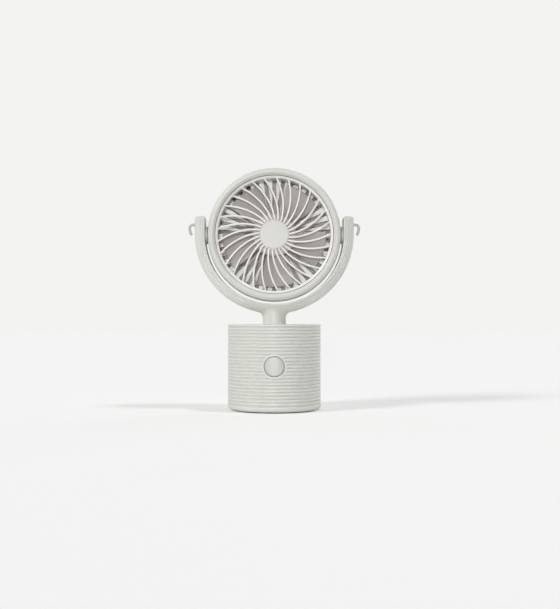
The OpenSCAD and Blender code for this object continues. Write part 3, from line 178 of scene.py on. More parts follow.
# ---------------------------------------------------------------- meshes
class Shape:
    """Collects the vertices and faces of one piece."""

    def __init__(self):
        self.verts = []
        self.faces = []

    def grid(self, rows, loop=False, ring=True, caps=False):
        """Skin over rows of points; ring closes each row, loop joins the last row to the first."""
        start, wide, count = len(self.verts), len(rows[0]), len(rows)
        for row in rows:
            self.verts.extend(row)
        for i in range(count if loop else count - 1):
            for j in range(wide if ring else wide - 1):
                a, b = start + i * wide, start + (i + 1) % count * wide
                k = (j + 1) % wide
                self.faces.append((a + j, a + k, b + k, b + j))
        if caps:
            self.faces.append(tuple(start + j for j in range(wide))[::-1])
            self.faces.append(tuple(start + (count - 1) * wide + j for j in range(wide)))

    def revolve(self, outline, count, place=polar):
        """Turns a closed outline of (radius, height) points round an axis."""
        rows = [[place(r, 360 * i / count, h) for r, h in outline] for i in range(count)]
        self.grid(rows, loop=True)

    def dome(self, outline, count, place=polar):
        """Turns an open outline round an axis; ends that lie on the axis become one point."""
        inner = [p for p in outline if p[0] > 0]
        start = len(self.verts)
        rows = [[place(r, 360 * i / count, h) for r, h in inner] for i in range(count)]
        self.grid(rows, loop=True, ring=False)
        wide = len(inner)
        for end, j, flip in ((outline[0], 0, 1), (outline[-1], wide - 1, -1)):
            if end[0] > 0:
                continue
            tip = len(self.verts)
            self.verts.append(place(0, 0, end[1]))
            for i in range(count):
                a, b = start + i * wide + j, start + (i + 1) % count * wide + j
                self.faces.append((tip, a, b)[::flip])

    def tube(self, route, radius, sides, caps=True, flat=1.0):
        """Round bar along a route of points; radius is one number or one for each point."""
        n = len(route)
        radii = radius if isinstance(radius, (list, tuple)) else [radius] * n
        heads = []
        for i in range(n):
            p, q = route[max(0, i - 1)], route[min(n - 1, i + 1)]
            d = [q[k] - p[k] for k in range(3)]
            length = math.sqrt(sum(c * c for c in d)) or 1
            heads.append([c / length for c in d])
        # the first cross direction is one that the bar doesn't run along
        side = [0.0, 0.0, 1.0] if abs(heads[0][2]) < 0.8 else [1.0, 0.0, 0.0]
        rows = []
        for i, h in enumerate(heads):
            dot = sum(side[k] * h[k] for k in range(3))
            side = [side[k] - dot * h[k] for k in range(3)]
            length = math.sqrt(sum(c * c for c in side))
            side = [c / length for c in side]
            over = [h[1] * side[2] - h[2] * side[1], h[2] * side[0] - h[0] * side[2],
                    h[0] * side[1] - h[1] * side[0]]
            row = []
            for j in range(sides):
                a = TURN * (j + 0.5) / sides
                c, s = math.cos(a) * radii[i] * MM, math.sin(a) * radii[i] * flat * MM
                row.append(tuple(route[i][k] + side[k] * c + over[k] * s for k in range(3)))
            rows.append(row)
        self.grid(rows, caps=caps)

    def build(self, name, body, slot, replaces, sharp, finish=None):
        """Makes the piece, smooth up to edges of sharp degrees, in the slot's material or in finish."""
        mesh = bpy.data.meshes.new(name)
        mesh.from_pydata(self.verts, [], self.faces)
        work = bmesh.new()
        work.from_mesh(mesh)
        bmesh.ops.remove_doubles(work, verts=work.verts, dist=1e-7)
        bmesh.ops.recalc_face_normals(work, faces=work.faces)
        work.to_mesh(mesh)
        work.free()
        mesh.shade_smooth()
        mesh.set_sharp_from_angle(angle=math.radians(sharp))
        obj = bpy.data.objects.new(name, mesh)
        bpy.context.scene.collection.objects.link(obj)
        obj.data.materials.append(finish or FINISH[slot])
        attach(obj, body)
        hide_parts(*replaces)


# ---------------------------------------------------------------- materials
PLASTIC_IOR = 1.5
COAT_ROUGH = 0.1
RELIEF = 0.35  # strength of the fine relief
BLEND = 0.05  # half the width over which a band fades in


def linear(rgb):
    """Linear colour from one written as 0 to 255."""
    return tuple((c / 255 / 12.92) if c <= 10 else ((c / 255 + 0.055) / 1.055) ** 2.4 for c in rgb) + (1.0,)


def node(tree, kind, inputs=None, **settings):
    """Adds a node, with its inputs linked to sockets or set to values."""
    n = tree.nodes.new(kind)
    for key, value in settings.items():
        setattr(n, key, value)
    for key, value in (inputs or {}).items():
        if isinstance(value, bpy.types.NodeSocket):
            tree.links.new(value, n.inputs[key])
        else:
            n.inputs[key].default_value = value
    return n


def material(name, light, dark, rough, grain=0.35, bump=0.02, blotch=18.0, metal=0.0, coat=0.0):
    """Moulded or cast surface: two close tones in soft blotches, a fine grain in roughness and height."""
    m = bpy.data.materials.new(name)
    m.use_nodes = True
    t = m.node_tree
    shader = t.nodes["Principled BSDF"]
    place = node(t, "ShaderNodeTexCoord").outputs["Object"]
    clouds = node(t, "ShaderNodeTexNoise", {"Vector": place, "Scale": 1 / MM / blotch, "Detail": 3.0})
    speck = node(t, "ShaderNodeTexNoise", {"Vector": place, "Scale": 1 / MM / grain, "Detail": 2.0})
    tone = node(t, "ShaderNodeMix", {0: clouds.outputs["Fac"], 6: linear(dark), 7: linear(light)},
                data_type="RGBA")
    t.links.new(tone.outputs[2], shader.inputs["Base Color"])
    gloss = node(t, "ShaderNodeMapRange", {"Value": speck.outputs["Fac"], "From Min": 0.3, "From Max": 0.7,
                                           "To Min": rough[0], "To Max": rough[1]})
    t.links.new(gloss.outputs["Result"], shader.inputs["Roughness"])
    relief = node(t, "ShaderNodeBump", {"Height": speck.outputs["Fac"], "Strength": RELIEF,
                                        "Distance": bump * MM})
    t.links.new(relief.outputs["Normal"], shader.inputs["Normal"])
    shader.inputs["Metallic"].default_value = metal
    shader.inputs["IOR"].default_value = PLASTIC_IOR
    shader.inputs["Coat Weight"].default_value = coat
    shader.inputs["Coat Roughness"].default_value = COAT_ROUGH
    return m


def banded(m, *bands, keep=(1, 0, 1), centre=(0, 0, PIVOT_Z * MM)):
    """Painted light or shade as other tones in bands (from radius, to radius, tone) round an axis, the fan's
    if none is named.
    """
    t = m.node_tree
    shader = t.nodes["Principled BSDF"]
    tone = shader.inputs["Base Color"].links[0].from_socket
    place = node(t, "ShaderNodeTexCoord").outputs["Object"]
    flat = node(t, "ShaderNodeVectorMath", {0: place, 1: keep}, operation="MULTIPLY")
    far = node(t, "ShaderNodeVectorMath", {0: flat.outputs[0], 1: centre},
               operation="DISTANCE").outputs["Value"]
    for start, end, rgb in bands:
        rise = node(t, "ShaderNodeMapRange", {"Value": far, "From Min": (start - BLEND) * MM,
                                              "From Max": (start + BLEND) * MM})
        fall = node(t, "ShaderNodeMapRange", {"Value": far, "From Min": (end - BLEND) * MM,
                                              "From Max": (end + BLEND) * MM, "To Min": 1.0, "To Max": 0.0})
        share = node(t, "ShaderNodeMath", {0: rise.outputs["Result"], 1: fall.outputs["Result"]},
                     operation="MULTIPLY")
        mixed = node(t, "ShaderNodeMix", {0: share.outputs[0], 6: tone, 7: linear(rgb)}, data_type="RGBA")
        tone = mixed.outputs[2]
    t.links.new(tone, shader.inputs["Base Color"])
    return m


# light tone, dark tone and range of roughness of the two main plastics
SHELL = ((222, 222, 217), (216, 216, 210), (0.36, 0.46))
GRILLE = ((247, 244, 241), (242, 239, 235), (0.28, 0.36))
FINISH = {
    "shell_plastic": material("shell_plastic", *SHELL, bump=0.025, blotch=22),
    "grille_plastic": material("grille_plastic", *GRILLE, bump=0.012),
    "trim_plastic": material("trim_plastic", (200, 199, 195), (192, 191, 187), (0.35, 0.45)),
    "fan_plastic": material("fan_plastic", (193, 188, 185), (184, 179, 176), (0.32, 0.42), bump=0.015),
    "net_fibre": material("net_fibre", (186, 182, 178), (170, 166, 162), (0.6, 0.75), grain=0.12,
                          bump=0.03, blotch=3),
    "black_plastic": material("black_plastic", (44, 44, 46), (36, 36, 38), (0.4, 0.55)),
    "steel": material("steel", (196, 198, 202), (176, 178, 182), (0.24, 0.36), metal=1.0, blotch=5),
    "battery_foil": material("battery_foil", (186, 190, 196), (170, 174, 180), (0.28, 0.42), grain=1.6,
                             bump=0.06, blotch=7, metal=1.0),
    "brass": material("brass", (214, 184, 112), (196, 166, 96), (0.25, 0.35), metal=1.0, blotch=4),
    "copper": material("copper", (198, 122, 78), (176, 102, 62), (0.26, 0.4), metal=1.0, blotch=2, grain=0.2),
    "circuit_board": material("circuit_board", (30, 92, 56), (22, 76, 46), (0.32, 0.45), blotch=4, coat=0.4),
    "rubber": material("rubber", (70, 70, 70), (58, 58, 58), (0.62, 0.78), bump=0.04),
    "wire_sleeve": material("wire_sleeve", (62, 60, 60), (50, 48, 48), (0.42, 0.55)),
    "magnet": material("magnet", (74, 74, 78), (60, 60, 64), (0.45, 0.6), metal=0.6, blotch=3),
}
CAP = material("cap_plastic", (209, 208, 204), (204, 203, 198), (0.34, 0.42), bump=0.015)
# ribs painted paler as painted light, round a motor seat painted grey as painted shade
SEAT_R = 18.35
REAR_PAINTED_LIGHT_SHADE = banded(material("rear_shell_painted_light_and_shade", *SHELL, bump=0.025, blotch=22),
              (SEAT_R, 35.7, (252, 251, 248)), (-1, SEAT_R, (166, 162, 158)))
# a shaded seam between the ring of the grille and the bezel
RING = banded(material("ring_plastic", *GRILLE, bump=0.012), (36.4, 40, (120, 117, 114)))
# shade in the grooves between the ribs of the base
BASE = banded(material("base_plastic", (230, 230, 225), (224, 224, 218), (0.36, 0.46), bump=0.025, blotch=22),
              (28.5, 28.74, (210, 210, 204)), keep=(1, 1, 0), centre=(0, 0, 0))
OWN = {"head_rear_shell": REAR_PAINTED_LIGHT_SHADE, "base_shell": BASE}
SLOT_OF = {p["node"]: p["material_slot"] for p in frame["record"]["subparts"]}
for name, part in NODES.items():
    part.data.materials.clear()
    part.data.materials.append(OWN.get(name, FINISH[SLOT_OF[name]]))

# ---------------------------------------------------------------- head: bezel
SKIRT_R = 39.7  # tongue that enters the rear shell
SKIRT_IN = 38.4
SKIRT_BACK = 1.2
RING_SEAT_R = 37.85
RING_SEAT_F = 6.65
BORE_F = 8.7  # where the slope from the crest meets the bore
NUT_HALF = 4.3  # the skirt is cut back beside the nuts of the pivot
NUT_F = 3.6
POST_AT = 38.25
POST_R = 1.45
POST_BORE = 0.83
POST_BACK = -6.55
POST_FRONT = 7.2
face = [(CREST_R + (FACE_OUT - CREST_R) * math.sin(a), FACE_BACK + (CREST_F - FACE_BACK) * math.cos(a))
        for a in steps(0, QUARTER, 26)]
face += [(FACE_OUT + 0.1, 4.8), (FACE_OUT + 0.1, SEAM_F + 0.15), (BEZEL_OUT, SEAM_F)]
lip = [(SKIRT_R, SEAM_F), (SKIRT_R, SKIRT_BACK), (SKIRT_IN, SKIRT_BACK), (SKIRT_IN, 4.1),
       (RING_SEAT_R, DUCT_FRONT), (RING_SEAT_R, RING_SEAT_F), (BEZEL_BORE, RING_SEAT_F)]
slope = [(BEZEL_BORE + (CREST_R - BEZEL_BORE) * t, BORE_F + (CREST_F - BORE_F) * smooth(0.08 + 0.92 * t))
         for t in steps(0.0, 0.96, 10)]
shape = Shape()
rows = []
for a in steps(0, 360, 300)[:-1]:
    row = []
    for r, f in face + lip + slope:
        beside_nut = abs(r * math.sin(math.radians(a))) < NUT_HALF and r < SKIRT_R and f < NUT_F
        row.append(polar(r, a, NUT_F if beside_nut else f))
    rows.append(row)
shape.grid(rows, loop=True)
post = rounded([(POST_BORE, POST_BACK), (POST_R, POST_BACK), (POST_R, POST_FRONT), (POST_BORE, POST_FRONT)],
               0.12, 2)
for a in (45, 135, 225, 315):
    shape.revolve(post, 24, beside(POST_AT * math.cos(math.radians(a)), POST_AT * math.sin(math.radians(a))))
shape.build("bezel_ring", "head", "shell_plastic", ["front_bezel"], sharp=32)

# ---------------------------------------------------------------- head: vanes and grilles
VANE_START = 88.2
VANE_EASE = 0.09  # how much faster a vane turns at its inner end
DIP_LONG = 2.4  # length over which a vane's front comes down to the ring
DIP_FROM = 2.6  # how far before the vane's outer end that begins


def vane(shape, radii, sweep, width, depth, turn, rounds, count=18, dip=0.0):
    """One curved bar of a grille, from radii[0] to radii[1].

    depth is its back and front, rounds how its front and back edges are rounded, and dip lowers its front
    where it meets the ring.
    """
    (r0, r1), (f0, f1), (front, back) = radii, depth, rounds
    half = width / 2
    rows = []
    for u in steps(0, 1, count):
        r = r0 + (r1 - r0) * u
        a = math.radians(VANE_START + sweep * u * (1 + VANE_EASE - VANE_EASE * u) + turn)
        along = math.atan(math.radians(sweep * (1 + VANE_EASE - 2 * VANE_EASE * u)) / (r1 - r0) * r)
        # unit vector across the vane
        nx, ny = -math.sin(a + along), math.cos(a + along)
        top = f1 - dip * smooth((r - r1 + DIP_FROM) / DIP_LONG)
        outline = rounded([(-half, f0), (half, f0), (half, top), (-half, top)], [back, back, front, front], 5)
        cx, cy = r * math.cos(a), r * math.sin(a)
        rows.append([at(cx + nx * w, cy + ny * w, f) for w, f in outline])
    shape.grid(rows, caps=True)


VANES = 29
VANE_BACK = GRILLE_F - VANE_DEEP
PLATE_R = 9.22  # plate in the middle that carries the disc
PLATE_F = 7.0
FLANGE_R = GRILLE_R + 1.1
FLANGE_F = DUCT_FRONT + 1.4
FLANGE_BACK = DUCT_FRONT + 0.05
shape = Shape()
shape.revolve(rounded([(GRILLE_IN, FLANGE_BACK), (FLANGE_R, FLANGE_BACK), (FLANGE_R, FLANGE_F),
                       (GRILLE_R, FLANGE_F), (GRILLE_R, GRILLE_F), (GRILLE_IN, GRILLE_F - RING_FALL)],
                      [0.1, 0.15, 0.15, 0, 0.3, 0.3], 5), 288)
shape.dome([(0, VANE_BACK), (PLATE_R - 0.22, VANE_BACK), (PLATE_R, VANE_BACK + 0.2), (PLATE_R, PLATE_F),
            (0, PLATE_F)], 96)
for i in range(VANES):
    vane(shape, (PLATE_R - 0.1, GRILLE_IN + 0.4), 24.5, 1.05, (VANE_BACK, GRILLE_F - 0.02), -360 * i / VANES,
         (0.5, 0.25), count=22, dip=RING_FALL - 0.2)
shape.build("swirl_grille", "head", "grille_plastic", ["front_grille"], sharp=40, finish=RING)

DISC_BACK = 7.1
DISC_F = 7.95
DISC_ROUND = 0.32
PEG_AT = 5.5
PEG_R = 0.8
shape = Shape()
disc = [(0, DISC_BACK), (DISC_R - 0.15, DISC_BACK), (DISC_R, DISC_BACK + 0.15), (DISC_R, DISC_F - DISC_ROUND)]
shape.dome(disc + rim(DISC_R, DISC_F, DISC_ROUND, 0.2, 5) + crown(7.6, DISC_F, 0.05, 8.7), 128)
for a in (90, 210, 330):
    shape.dome([(0, 6.3), (PEG_R - 0.2, 6.3), (PEG_R, 6.5), (PEG_R, 7.3), (0, 7.3)], 20,
               beside(PEG_AT * math.cos(math.radians(a)), PEG_AT * math.sin(math.radians(a))))
shape.build("hub_disc", "head", "grille_plastic", ["front_hub_cap"], sharp=50, finish=CAP)

# ---------------------------------------------------------------- head: fan
HUB_WALL = 1.5
HUB_TOP = 0.85
HUB_ROUND = 1.2
BLADES = 5
BLADE_START = 32
BLADE_SPAN = 46
BLADE_TAPER = 2  # angle by which each side of the tip is drawn in from that of the root
BLADE_GAP = 0.3  # from the hub's back to the blade's back edge
BLADE_RISE = 5.5
BLADE_BOW = 0.12
BLADE_SINK = 0.15  # share by which the tip rises less than the root
BLADE_HALF = 0.6
BLADE_EDGE = 0.7  # distance from its edge over which a blade thins out
# shares of a blade's span and length, closest where its edges round
U_STEPS = [0, 0.006, 0.02, 0.05, 0.1, 0.18, 0.28, 0.4, 0.5, 0.6, 0.72, 0.82, 0.9, 0.95, 0.98, 0.994, 1]
V_STEPS = [0, 0.12, 0.25, 0.4, 0.55, 0.7, 0.82, 0.91, 0.96, 0.985, 0.996, 1]
shape = Shape()
hub = [(HUB_R - HUB_WALL, FAN_BACK), (HUB_R - 0.2, FAN_BACK), (HUB_R, FAN_BACK + 0.2),
       (HUB_R, FAN_FRONT - HUB_ROUND)]
shape.dome(hub + rim(HUB_R, FAN_FRONT, HUB_ROUND, 0.15, 7) + [(6.0, FAN_FRONT), (0, FAN_FRONT)], 144)
shape.dome([(0, FAN_FRONT - HUB_TOP), (HUB_R - HUB_WALL, FAN_FRONT - HUB_TOP),
            (HUB_R - HUB_WALL, FAN_BACK)], 144)
root = HUB_R - 0.6
for turn in steps(0, 360, BLADES)[:-1]:
    for side in (-1, 1):
        rows = []
        for v in V_STEPS:
            row = []
            for u in U_STEPS:
                r = root + (BLADE_R - root) * v
                a = BLADE_START + BLADE_SPAN * u + BLADE_TAPER * v * v * (1 - 2 * u) + turn
                bow = u + BLADE_BOW * math.sin(math.pi * u)
                f = FAN_BACK + BLADE_GAP + BLADE_RISE * bow * (1 - BLADE_SINK * v) + BLADE_HALF
                arc = math.radians(BLADE_SPAN) * r
                inside = min(u * arc, (1 - u) * arc, (1 - v) * (BLADE_R - root))
                half = BLADE_HALF * math.sqrt(max(0.0, 1 - (1 - min(1.0, inside / BLADE_EDGE)) ** 2))
                row.append(polar(r, a, f + side * half))
            rows.append(row)
        shape.grid(rows, ring=False)
shape.build("fan_rotor", "rotor", "fan_plastic", ["impeller"], sharp=45)

# ---------------------------------------------------------------- head: intake net
NET_RIM = 1.2
NET_PITCH = 1.02
NET_WAVE = 0.1
STRAND_R = 0.52
STRAND_FLAT = 0.3
shape = Shape()
shape.revolve(rounded([(NET_OUT - NET_RIM, NET_BACK), (NET_OUT, NET_BACK), (NET_OUT, NET_FRONT),
                       (NET_OUT - NET_RIM, NET_FRONT)], 0.12, 2), 144)
shape.revolve(rounded([(NET_IN, NET_BACK), (NET_IN + NET_RIM, NET_BACK), (NET_IN + NET_RIM, NET_FRONT),
                       (NET_IN, NET_FRONT)], 0.12, 2), 96)
reach = int(NET_OUT / NET_PITCH)
mid = (NET_FRONT + NET_BACK) / 2
for turn in (0, 1):
    for i in range(-reach, reach):
        off = (i + 0.5) * NET_PITCH
        far = math.sqrt(max(0.0, (NET_OUT - 0.8) ** 2 - off * off))
        near = math.sqrt(max(0.0, (NET_IN + 0.6) ** 2 - off * off))
        spans = [(-far, -near), (near, far)] if near > 0.5 else [(-far, far)]
        for a, b in spans:
            if b - a < NET_PITCH:
                continue
            route = []
            for k in range(math.floor(a / NET_PITCH * 2), math.ceil(b / NET_PITCH * 2) + 1):
                s = min(b, max(a, k * NET_PITCH / 2))
                if route and s - route[-1][0] < 0.05:
                    continue
                # strands pass over and under each other, half a step out of phase
                route.append((s, NET_WAVE * math.cos(math.pi * (s / NET_PITCH - 0.5 + i + turn))))
            points = [at(off, s, mid + w) if turn else at(s, off, mid + w) for s, w in route]
            shape.tube(points, STRAND_R, 4, caps=False, flat=STRAND_FLAT)
shape.build("intake_net", "head", "net_fibre", ["intake_mesh"], sharp=80)

# ---------------------------------------------------------------- head: rear grille
REAR_VANES = 24
LEAD_HALF = 1.0  # the ring makes room for the motor's lead
LEAD_ROOM_F = -10.1
BACK_ROUND = 0.55
SPIGOT_R = 9.0
SPIGOT_IN = 7.6
SPIGOT_BACK = -11.0
SPIGOT_F = -7.05
shape = Shape()
ring = rounded([(REAR_RING - 2, REAR_BACK), (REAR_RING, REAR_BACK), (REAR_RING, -8.7), (REAR_RING - 2, -8.7)],
               [0.6, 0.35, 0.1, 0.1], 5)
rows = []
for a in steps(0, 360, 288)[:-1]:
    at_lead = abs(math.remainder(a, 360)) * math.radians(REAR_RING) < LEAD_HALF
    rows.append([polar(r, a, min(f, LEAD_ROOM_F) if at_lead else f) for r, f in ring])
shape.grid(rows, loop=True)
hub = [(0, REAR_FRONT), (REAR_HUB - 0.2, REAR_FRONT), (REAR_HUB, REAR_FRONT - 0.2)]
hub += rim(REAR_HUB, REAR_BACK, BACK_ROUND, 0.1, 6, side=-1)
shape.dome(hub + crown(11.3, REAR_BACK, 0.12, 11.6), 128)
shape.revolve(rounded([(SPIGOT_IN, SPIGOT_BACK), (SPIGOT_R, SPIGOT_BACK), (SPIGOT_R, SPIGOT_F),
                       (SPIGOT_IN, SPIGOT_F)], 0.15, 2), 96)
for i in range(REAR_VANES):
    vane(shape, (REAR_HUB - 0.4, REAR_RING - 1.6), -24.0, 1.3, (REAR_BACK + 0.02, REAR_FRONT),
         360 * i / REAR_VANES, (0.2, 0.6))
shape.build("back_grille", "head", "shell_plastic", ["rear_grille"], sharp=40)

# ---------------------------------------------------------------- yoke with neck
SOFT = 0.75  # rounding between the yoke's inner land and its reeded outside
STEEPEST = 0.95  # keeps the start of the outside short of the section's top
REED_EASE = 0.1  # radians over which the reeds fade in at the section's edges


def section(theta, floor_r, channel_r, shrink_r, shrink_w, fade, y_straight=None):
    """Points of the yoke's section, as a list of (x, y, w); theta is the direction from the arc's centre.

    floor_r and channel_r are the seats of the cover strip and the lead, None where there is none. On the
    straight arms y_straight is the height. shrink_r and shrink_w draw the section in at the arm's end.
    """
    c, s = math.cos(math.radians(theta)), math.sin(math.radians(theta))
    inner = YOKE_IN
    if y_straight is None:
        inner = -YOKE_LIFT * s + math.sqrt(YOKE_IN ** 2 - (YOKE_LIFT * c) ** 2)
    shift = inner - YOKE_IN
    half = YOKE_HALF - shrink_w
    crest = YOKE_OUT - shrink_r - SECTION_R
    land = inner + shrink_r
    a0 = math.asin(min(STEEPEST, max(0.02, (land + SOFT - SECTION_R) / crest)))
    low_w = half * math.cos(math.asin(min(STEEPEST, max(0.0, (land - SECTION_R) / crest))))
    seat = min(STRIP_HALF + 0.1, low_w - SOFT - 0.1)
    hold = land if floor_r is None else floor_r + shift
    deep = hold if channel_r is None else channel_r + shift
    chan = min(CHANNEL_HALF, seat - 0.5)
    # channel, seat of the strip, land and soft edge of one side, then the reeds, then the other side
    edge = [(deep, chan), (hold, chan), (hold, seat), (land, seat)]
    edge += [bezier((land, low_w - SOFT), (land, low_w), (land + SOFT, half * math.cos(a0)), t)
             for t in steps(0, 1, 4)]
    outline = list(edge)
    count = REEDS * 10
    for k in range(1, count):
        a = a0 + (math.pi - 2 * a0) * k / count
        ease = max(0.0, min(1.0, (a - a0) / REED_EASE, (math.pi - a0 - a) / REED_EASE))
        dip = REED_DEPTH * (1 - abs(math.sin(REEDS * a))) * fade * ease
        outline.append((SECTION_R + (crest - dip) * math.sin(a), (half - dip) * math.cos(a)))
    outline += [(r, -w) for r, w in reversed(edge)]
    if y_straight is None:
        return [(r * c, YOKE_LIFT + r * s, w) for r, w in outline]
    side = 1 if c > 0 else -1
    return [(side * r, y_straight, w) for r, w in outline]


def drawn_in(y, radius):
    """How far a rounding of this radius draws the arm in at height y."""
    return radius - math.sqrt(max(0, radius ** 2 - max(0, y - (ARM_TOP - radius)) ** 2))


def reed_fade(theta):
    """The reeds run out towards the neck."""
    return smooth((abs(theta + 90) - 12) / 18)


FLOOR_R = STRIP_R + 0.05
SEAT_TOP = STRIP_TOP + 0.1
CHANNEL_TOP = STRIP_TOP - 1.6
JUST = 1e-6  # slack for comparing heights
# heights of the sections of an arm, closest at its rounded end and at the seats' tops
ARM_STEPS = [11.6, 11.57, 11.5, 11.38, 11.2, 11.0, 10.7, 10.3, 9.91, 9.9, 9.4, 8.6, 8.21, 8.2, 6.5, 4.5,
             2.5, 0.7]
stations = [(FLOOR_R if y <= SEAT_TOP + JUST else None, CHANNEL_R if y <= CHANNEL_TOP + JUST else None,
             drawn_in(y, ARM_ROUND), drawn_in(y, ARM_SIDE_ROUND), 1.0, y) for y in ARM_STEPS]
left = [section(180, *station) for station in stations]
right = [section(0, *station) for station in reversed(stations)]
arc = [section(a, FLOOR_R, CHANNEL_R, 0, 0, reed_fade(a)) for a in steps(-180, 0, 120)[1:-1]]
shape = Shape()
shape.grid([[at(*p) for p in row] for row in left + arc + right], caps=True)


def under(x, w):
    """Height of the smooth underside of the yoke at a place beside the neck."""
    r = SECTION_R + BULGE * math.sqrt(max(0.0, 1 - (w / YOKE_HALF) ** 2))
    return YOKE_LIFT - math.sqrt(r * r - x * x)


NECK_LOW = BASE_H - PIVOT_Z
NECK_COLUMNS = 96
FOOT_TOP = 0.9
# the flare at the neck's foot, as (beyond the neck, above the base)
FOOT = ((0.75, 0.02), (0.42, 0.07), (0.18, 0.22), (0.04, 0.5), (0, FOOT_TOP))
columns = []
for j in range(NECK_COLUMNS):
    a = TURN * j / NECK_COLUMNS
    c, s = math.cos(a), math.sin(a)
    # the fillet into the yoke reaches further along the yoke than across it
    reach_out = 3.2 * c * c + 1.1 * s * s
    drop = 3.4 * c * c + 2.6 * s * s
    corner = (NECK_R * c, under(NECK_R * c, NECK_R * s), NECK_R * s)
    r = NECK_R + reach_out
    end = (r * c, under(r * c, r * s) + 0.02, r * s)
    start = (NECK_R * c, corner[1] - drop, NECK_R * s)
    column = [((NECK_R + out) * c, NECK_LOW + rise, (NECK_R + out) * s) for out, rise in FOOT]
    column += [(NECK_R * c, NECK_LOW + FOOT_TOP + (start[1] - NECK_LOW - FOOT_TOP) * t, NECK_R * s)
               for t in steps(0, 1, 4)[1:-1]]
    column += [bezier(start, corner, end, t) for t in steps(0, 1, 12)]
    columns.append(column)
shape.grid([[at(*p) for p in column] for column in columns], loop=True, ring=False)
# spigot below the deck
shape.revolve(rounded([(2.5, 46.6), (5.5, 46.6), (5.5, 53.2), (2.5, 53.2)], 0.2, 2), 64, up)
shape.build("yoke_body", "base", "shell_plastic", ["yoke_frame"], sharp=34)

# ---------------------------------------------------------------- lanyard hooks
HOOK_Y = 6.5
HOOK_OUT = 3.2
HOOK_BEND = 1.85
HOOK_CURL = 9.0
HOOK_TURN = 28
HOOK_R = 0.85
for side, name, cad in ((1, "cord_hook_right", "lanyard_hook_right"),
                        (-1, "cord_hook_left", "lanyard_hook_left")):
    bx, by = YOKE_OUT + HOOK_OUT - HOOK_BEND, HOOK_Y - HOOK_BEND
    path = [(x, HOOK_Y) for x in (YOKE_OUT - 1.2, YOKE_OUT - 0.3, YOKE_OUT + 0.4, bx - 0.5)]
    path += [(bx + HOOK_BEND * math.cos(a), by + HOOK_BEND * math.sin(a)) for a in steps(QUARTER, 0, 14)]
    cx = bx + HOOK_BEND - HOOK_CURL
    path += [(cx + HOOK_CURL * math.cos(a), by + HOOK_CURL * math.sin(a))
             for a in steps(0, -math.radians(HOOK_TURN), 14)[1:]]
    (px, py), (ex, ey) = path[-2:]
    dx, dy = ex - px, ey - py
    k = math.hypot(dx, dy)
    path += [(ex + dx / k * s, ey + dy / k * s) for s in (0.2, 0.34, 0.44, 0.5)]
    # thicker where it leaves the arm, round at its end
    radii = [1.3, 1.12, 0.92] + [HOOK_R] * (len(path) - 7) + [0.8, 0.66, 0.46, 0.2]
    shape = Shape()
    shape.tube([at(side * x, y, 0) for x, y in path], radii, 20)
    shape.build(name, "base", "trim_plastic", [cad], sharp=60)

# ---------------------------------------------------------------- power button
BUTTON_SIDES = 96
CAP_R = 5.95
CAP_FACE = 28.85  # radius of its face round the axis of the base
CAP_CROWN = 0.12
CENTRE_R = 0.001  # innermost ring, next to the axis


def button_row(r, y_at):
    """Ring of points at radius r on the button; y_at gives how far each is behind the base's axis."""
    ring = [(r * math.cos(TURN * j / BUTTON_SIDES), r * math.sin(TURN * j / BUTTON_SIDES))
            for j in range(BUTTON_SIDES)]
    return [(x * MM, y_at(x) * MM, (BUTTON_Z + z) * MM) for x, z in ring]


def face_row(r, sink):
    """Ring of the button's face, which follows the base and sinks towards its rim."""
    def y_at(x):
        y = -math.sqrt(CAP_FACE ** 2 - x * x) + sink + CAP_CROWN * (r / CAP_R) ** 2 - CAP_CROWN
        return max(y, -CAP_FACE)
    return button_row(r, y_at)


shape = Shape()
rows = [face_row(r, sink) for r, sink in ((CENTRE_R, 0), (1.5, 0), (3, 0), (4.2, 0), (5.1, 0), (5.5, 0.03),
                                          (5.72, 0.1), (5.88, 0.24), (CAP_R, 0.45))]
rows += [button_row(r, lambda x: y) for r, y in ((CAP_R, -25.4), (7.25, -25.35), (7.25, -24.35),
                                                 (1.6, -24.35), (1.6, -21.95), (CENTRE_R, -21.95))]
shape.grid(rows, caps=True)
shape.build("button_cap", "button", "shell_plastic", ["power_button"], sharp=50, finish=CAP)


# ---------------------------------------------------------------- charging socket
def stadium(w, h):
    """Outline of a bar with round ends, counted from the right-hand end."""
    r = h / 2
    points = [(w / 2 - r + r * math.cos(a), r * math.sin(a)) for a in steps(-QUARTER, QUARTER, 12)]
    return points + [(-x, -z) for x, z in points]


def block(x0, x1, z0, z1, corner, n):
    """Outline of a bar with rounded corners."""
    return rounded([(x0, z0), (x1, z0), (x1, z1), (x0, z1)], corner, n)


def port_row(outline, y):
    """Ring of points on the socket at a distance y behind the base's axis."""
    return [(x * MM, y * MM, (PORT_Z + z) * MM) for x, z in outline]


PORT_BACK = 20.75
PORT_EDGE = PORT_MOUTH_Y - 0.15
TONGUE_W = 6.7
TONGUE_H = 0.7
CONTACTS = 12
CONTACT_PITCH = 0.5
CONTACT_HALF = 0.13
shape = Shape()
shape.grid([port_row(stadium(PORT_W + grow, PORT_H + grow), y)
            for grow, y in ((0, PORT_BACK), (0, PORT_EDGE), (-0.12, PORT_MOUTH_Y), (-0.42, PORT_MOUTH_Y),
                            (-0.6, PORT_EDGE), (-0.6, PORT_BACK + 1.2))], caps=True)
shape.build("port_shell", "base", "steel", ["usb_c_socket"], sharp=40)
shape = Shape()
shape.grid([port_row(block(-w / 2, w / 2, -h / 2, h / 2, min(0.12, h * 0.4), 2), y)
            for w, h, y in ((TONGUE_W, TONGUE_H, 21.4), (TONGUE_W, TONGUE_H, 27.3), (6.5, 0.55, 27.65),
                            (6.1, 0.3, 27.8))], caps=True)
shape.build("port_tongue", "base", "black_plastic", ["usb_c_socket"], sharp=40)
shape = Shape()
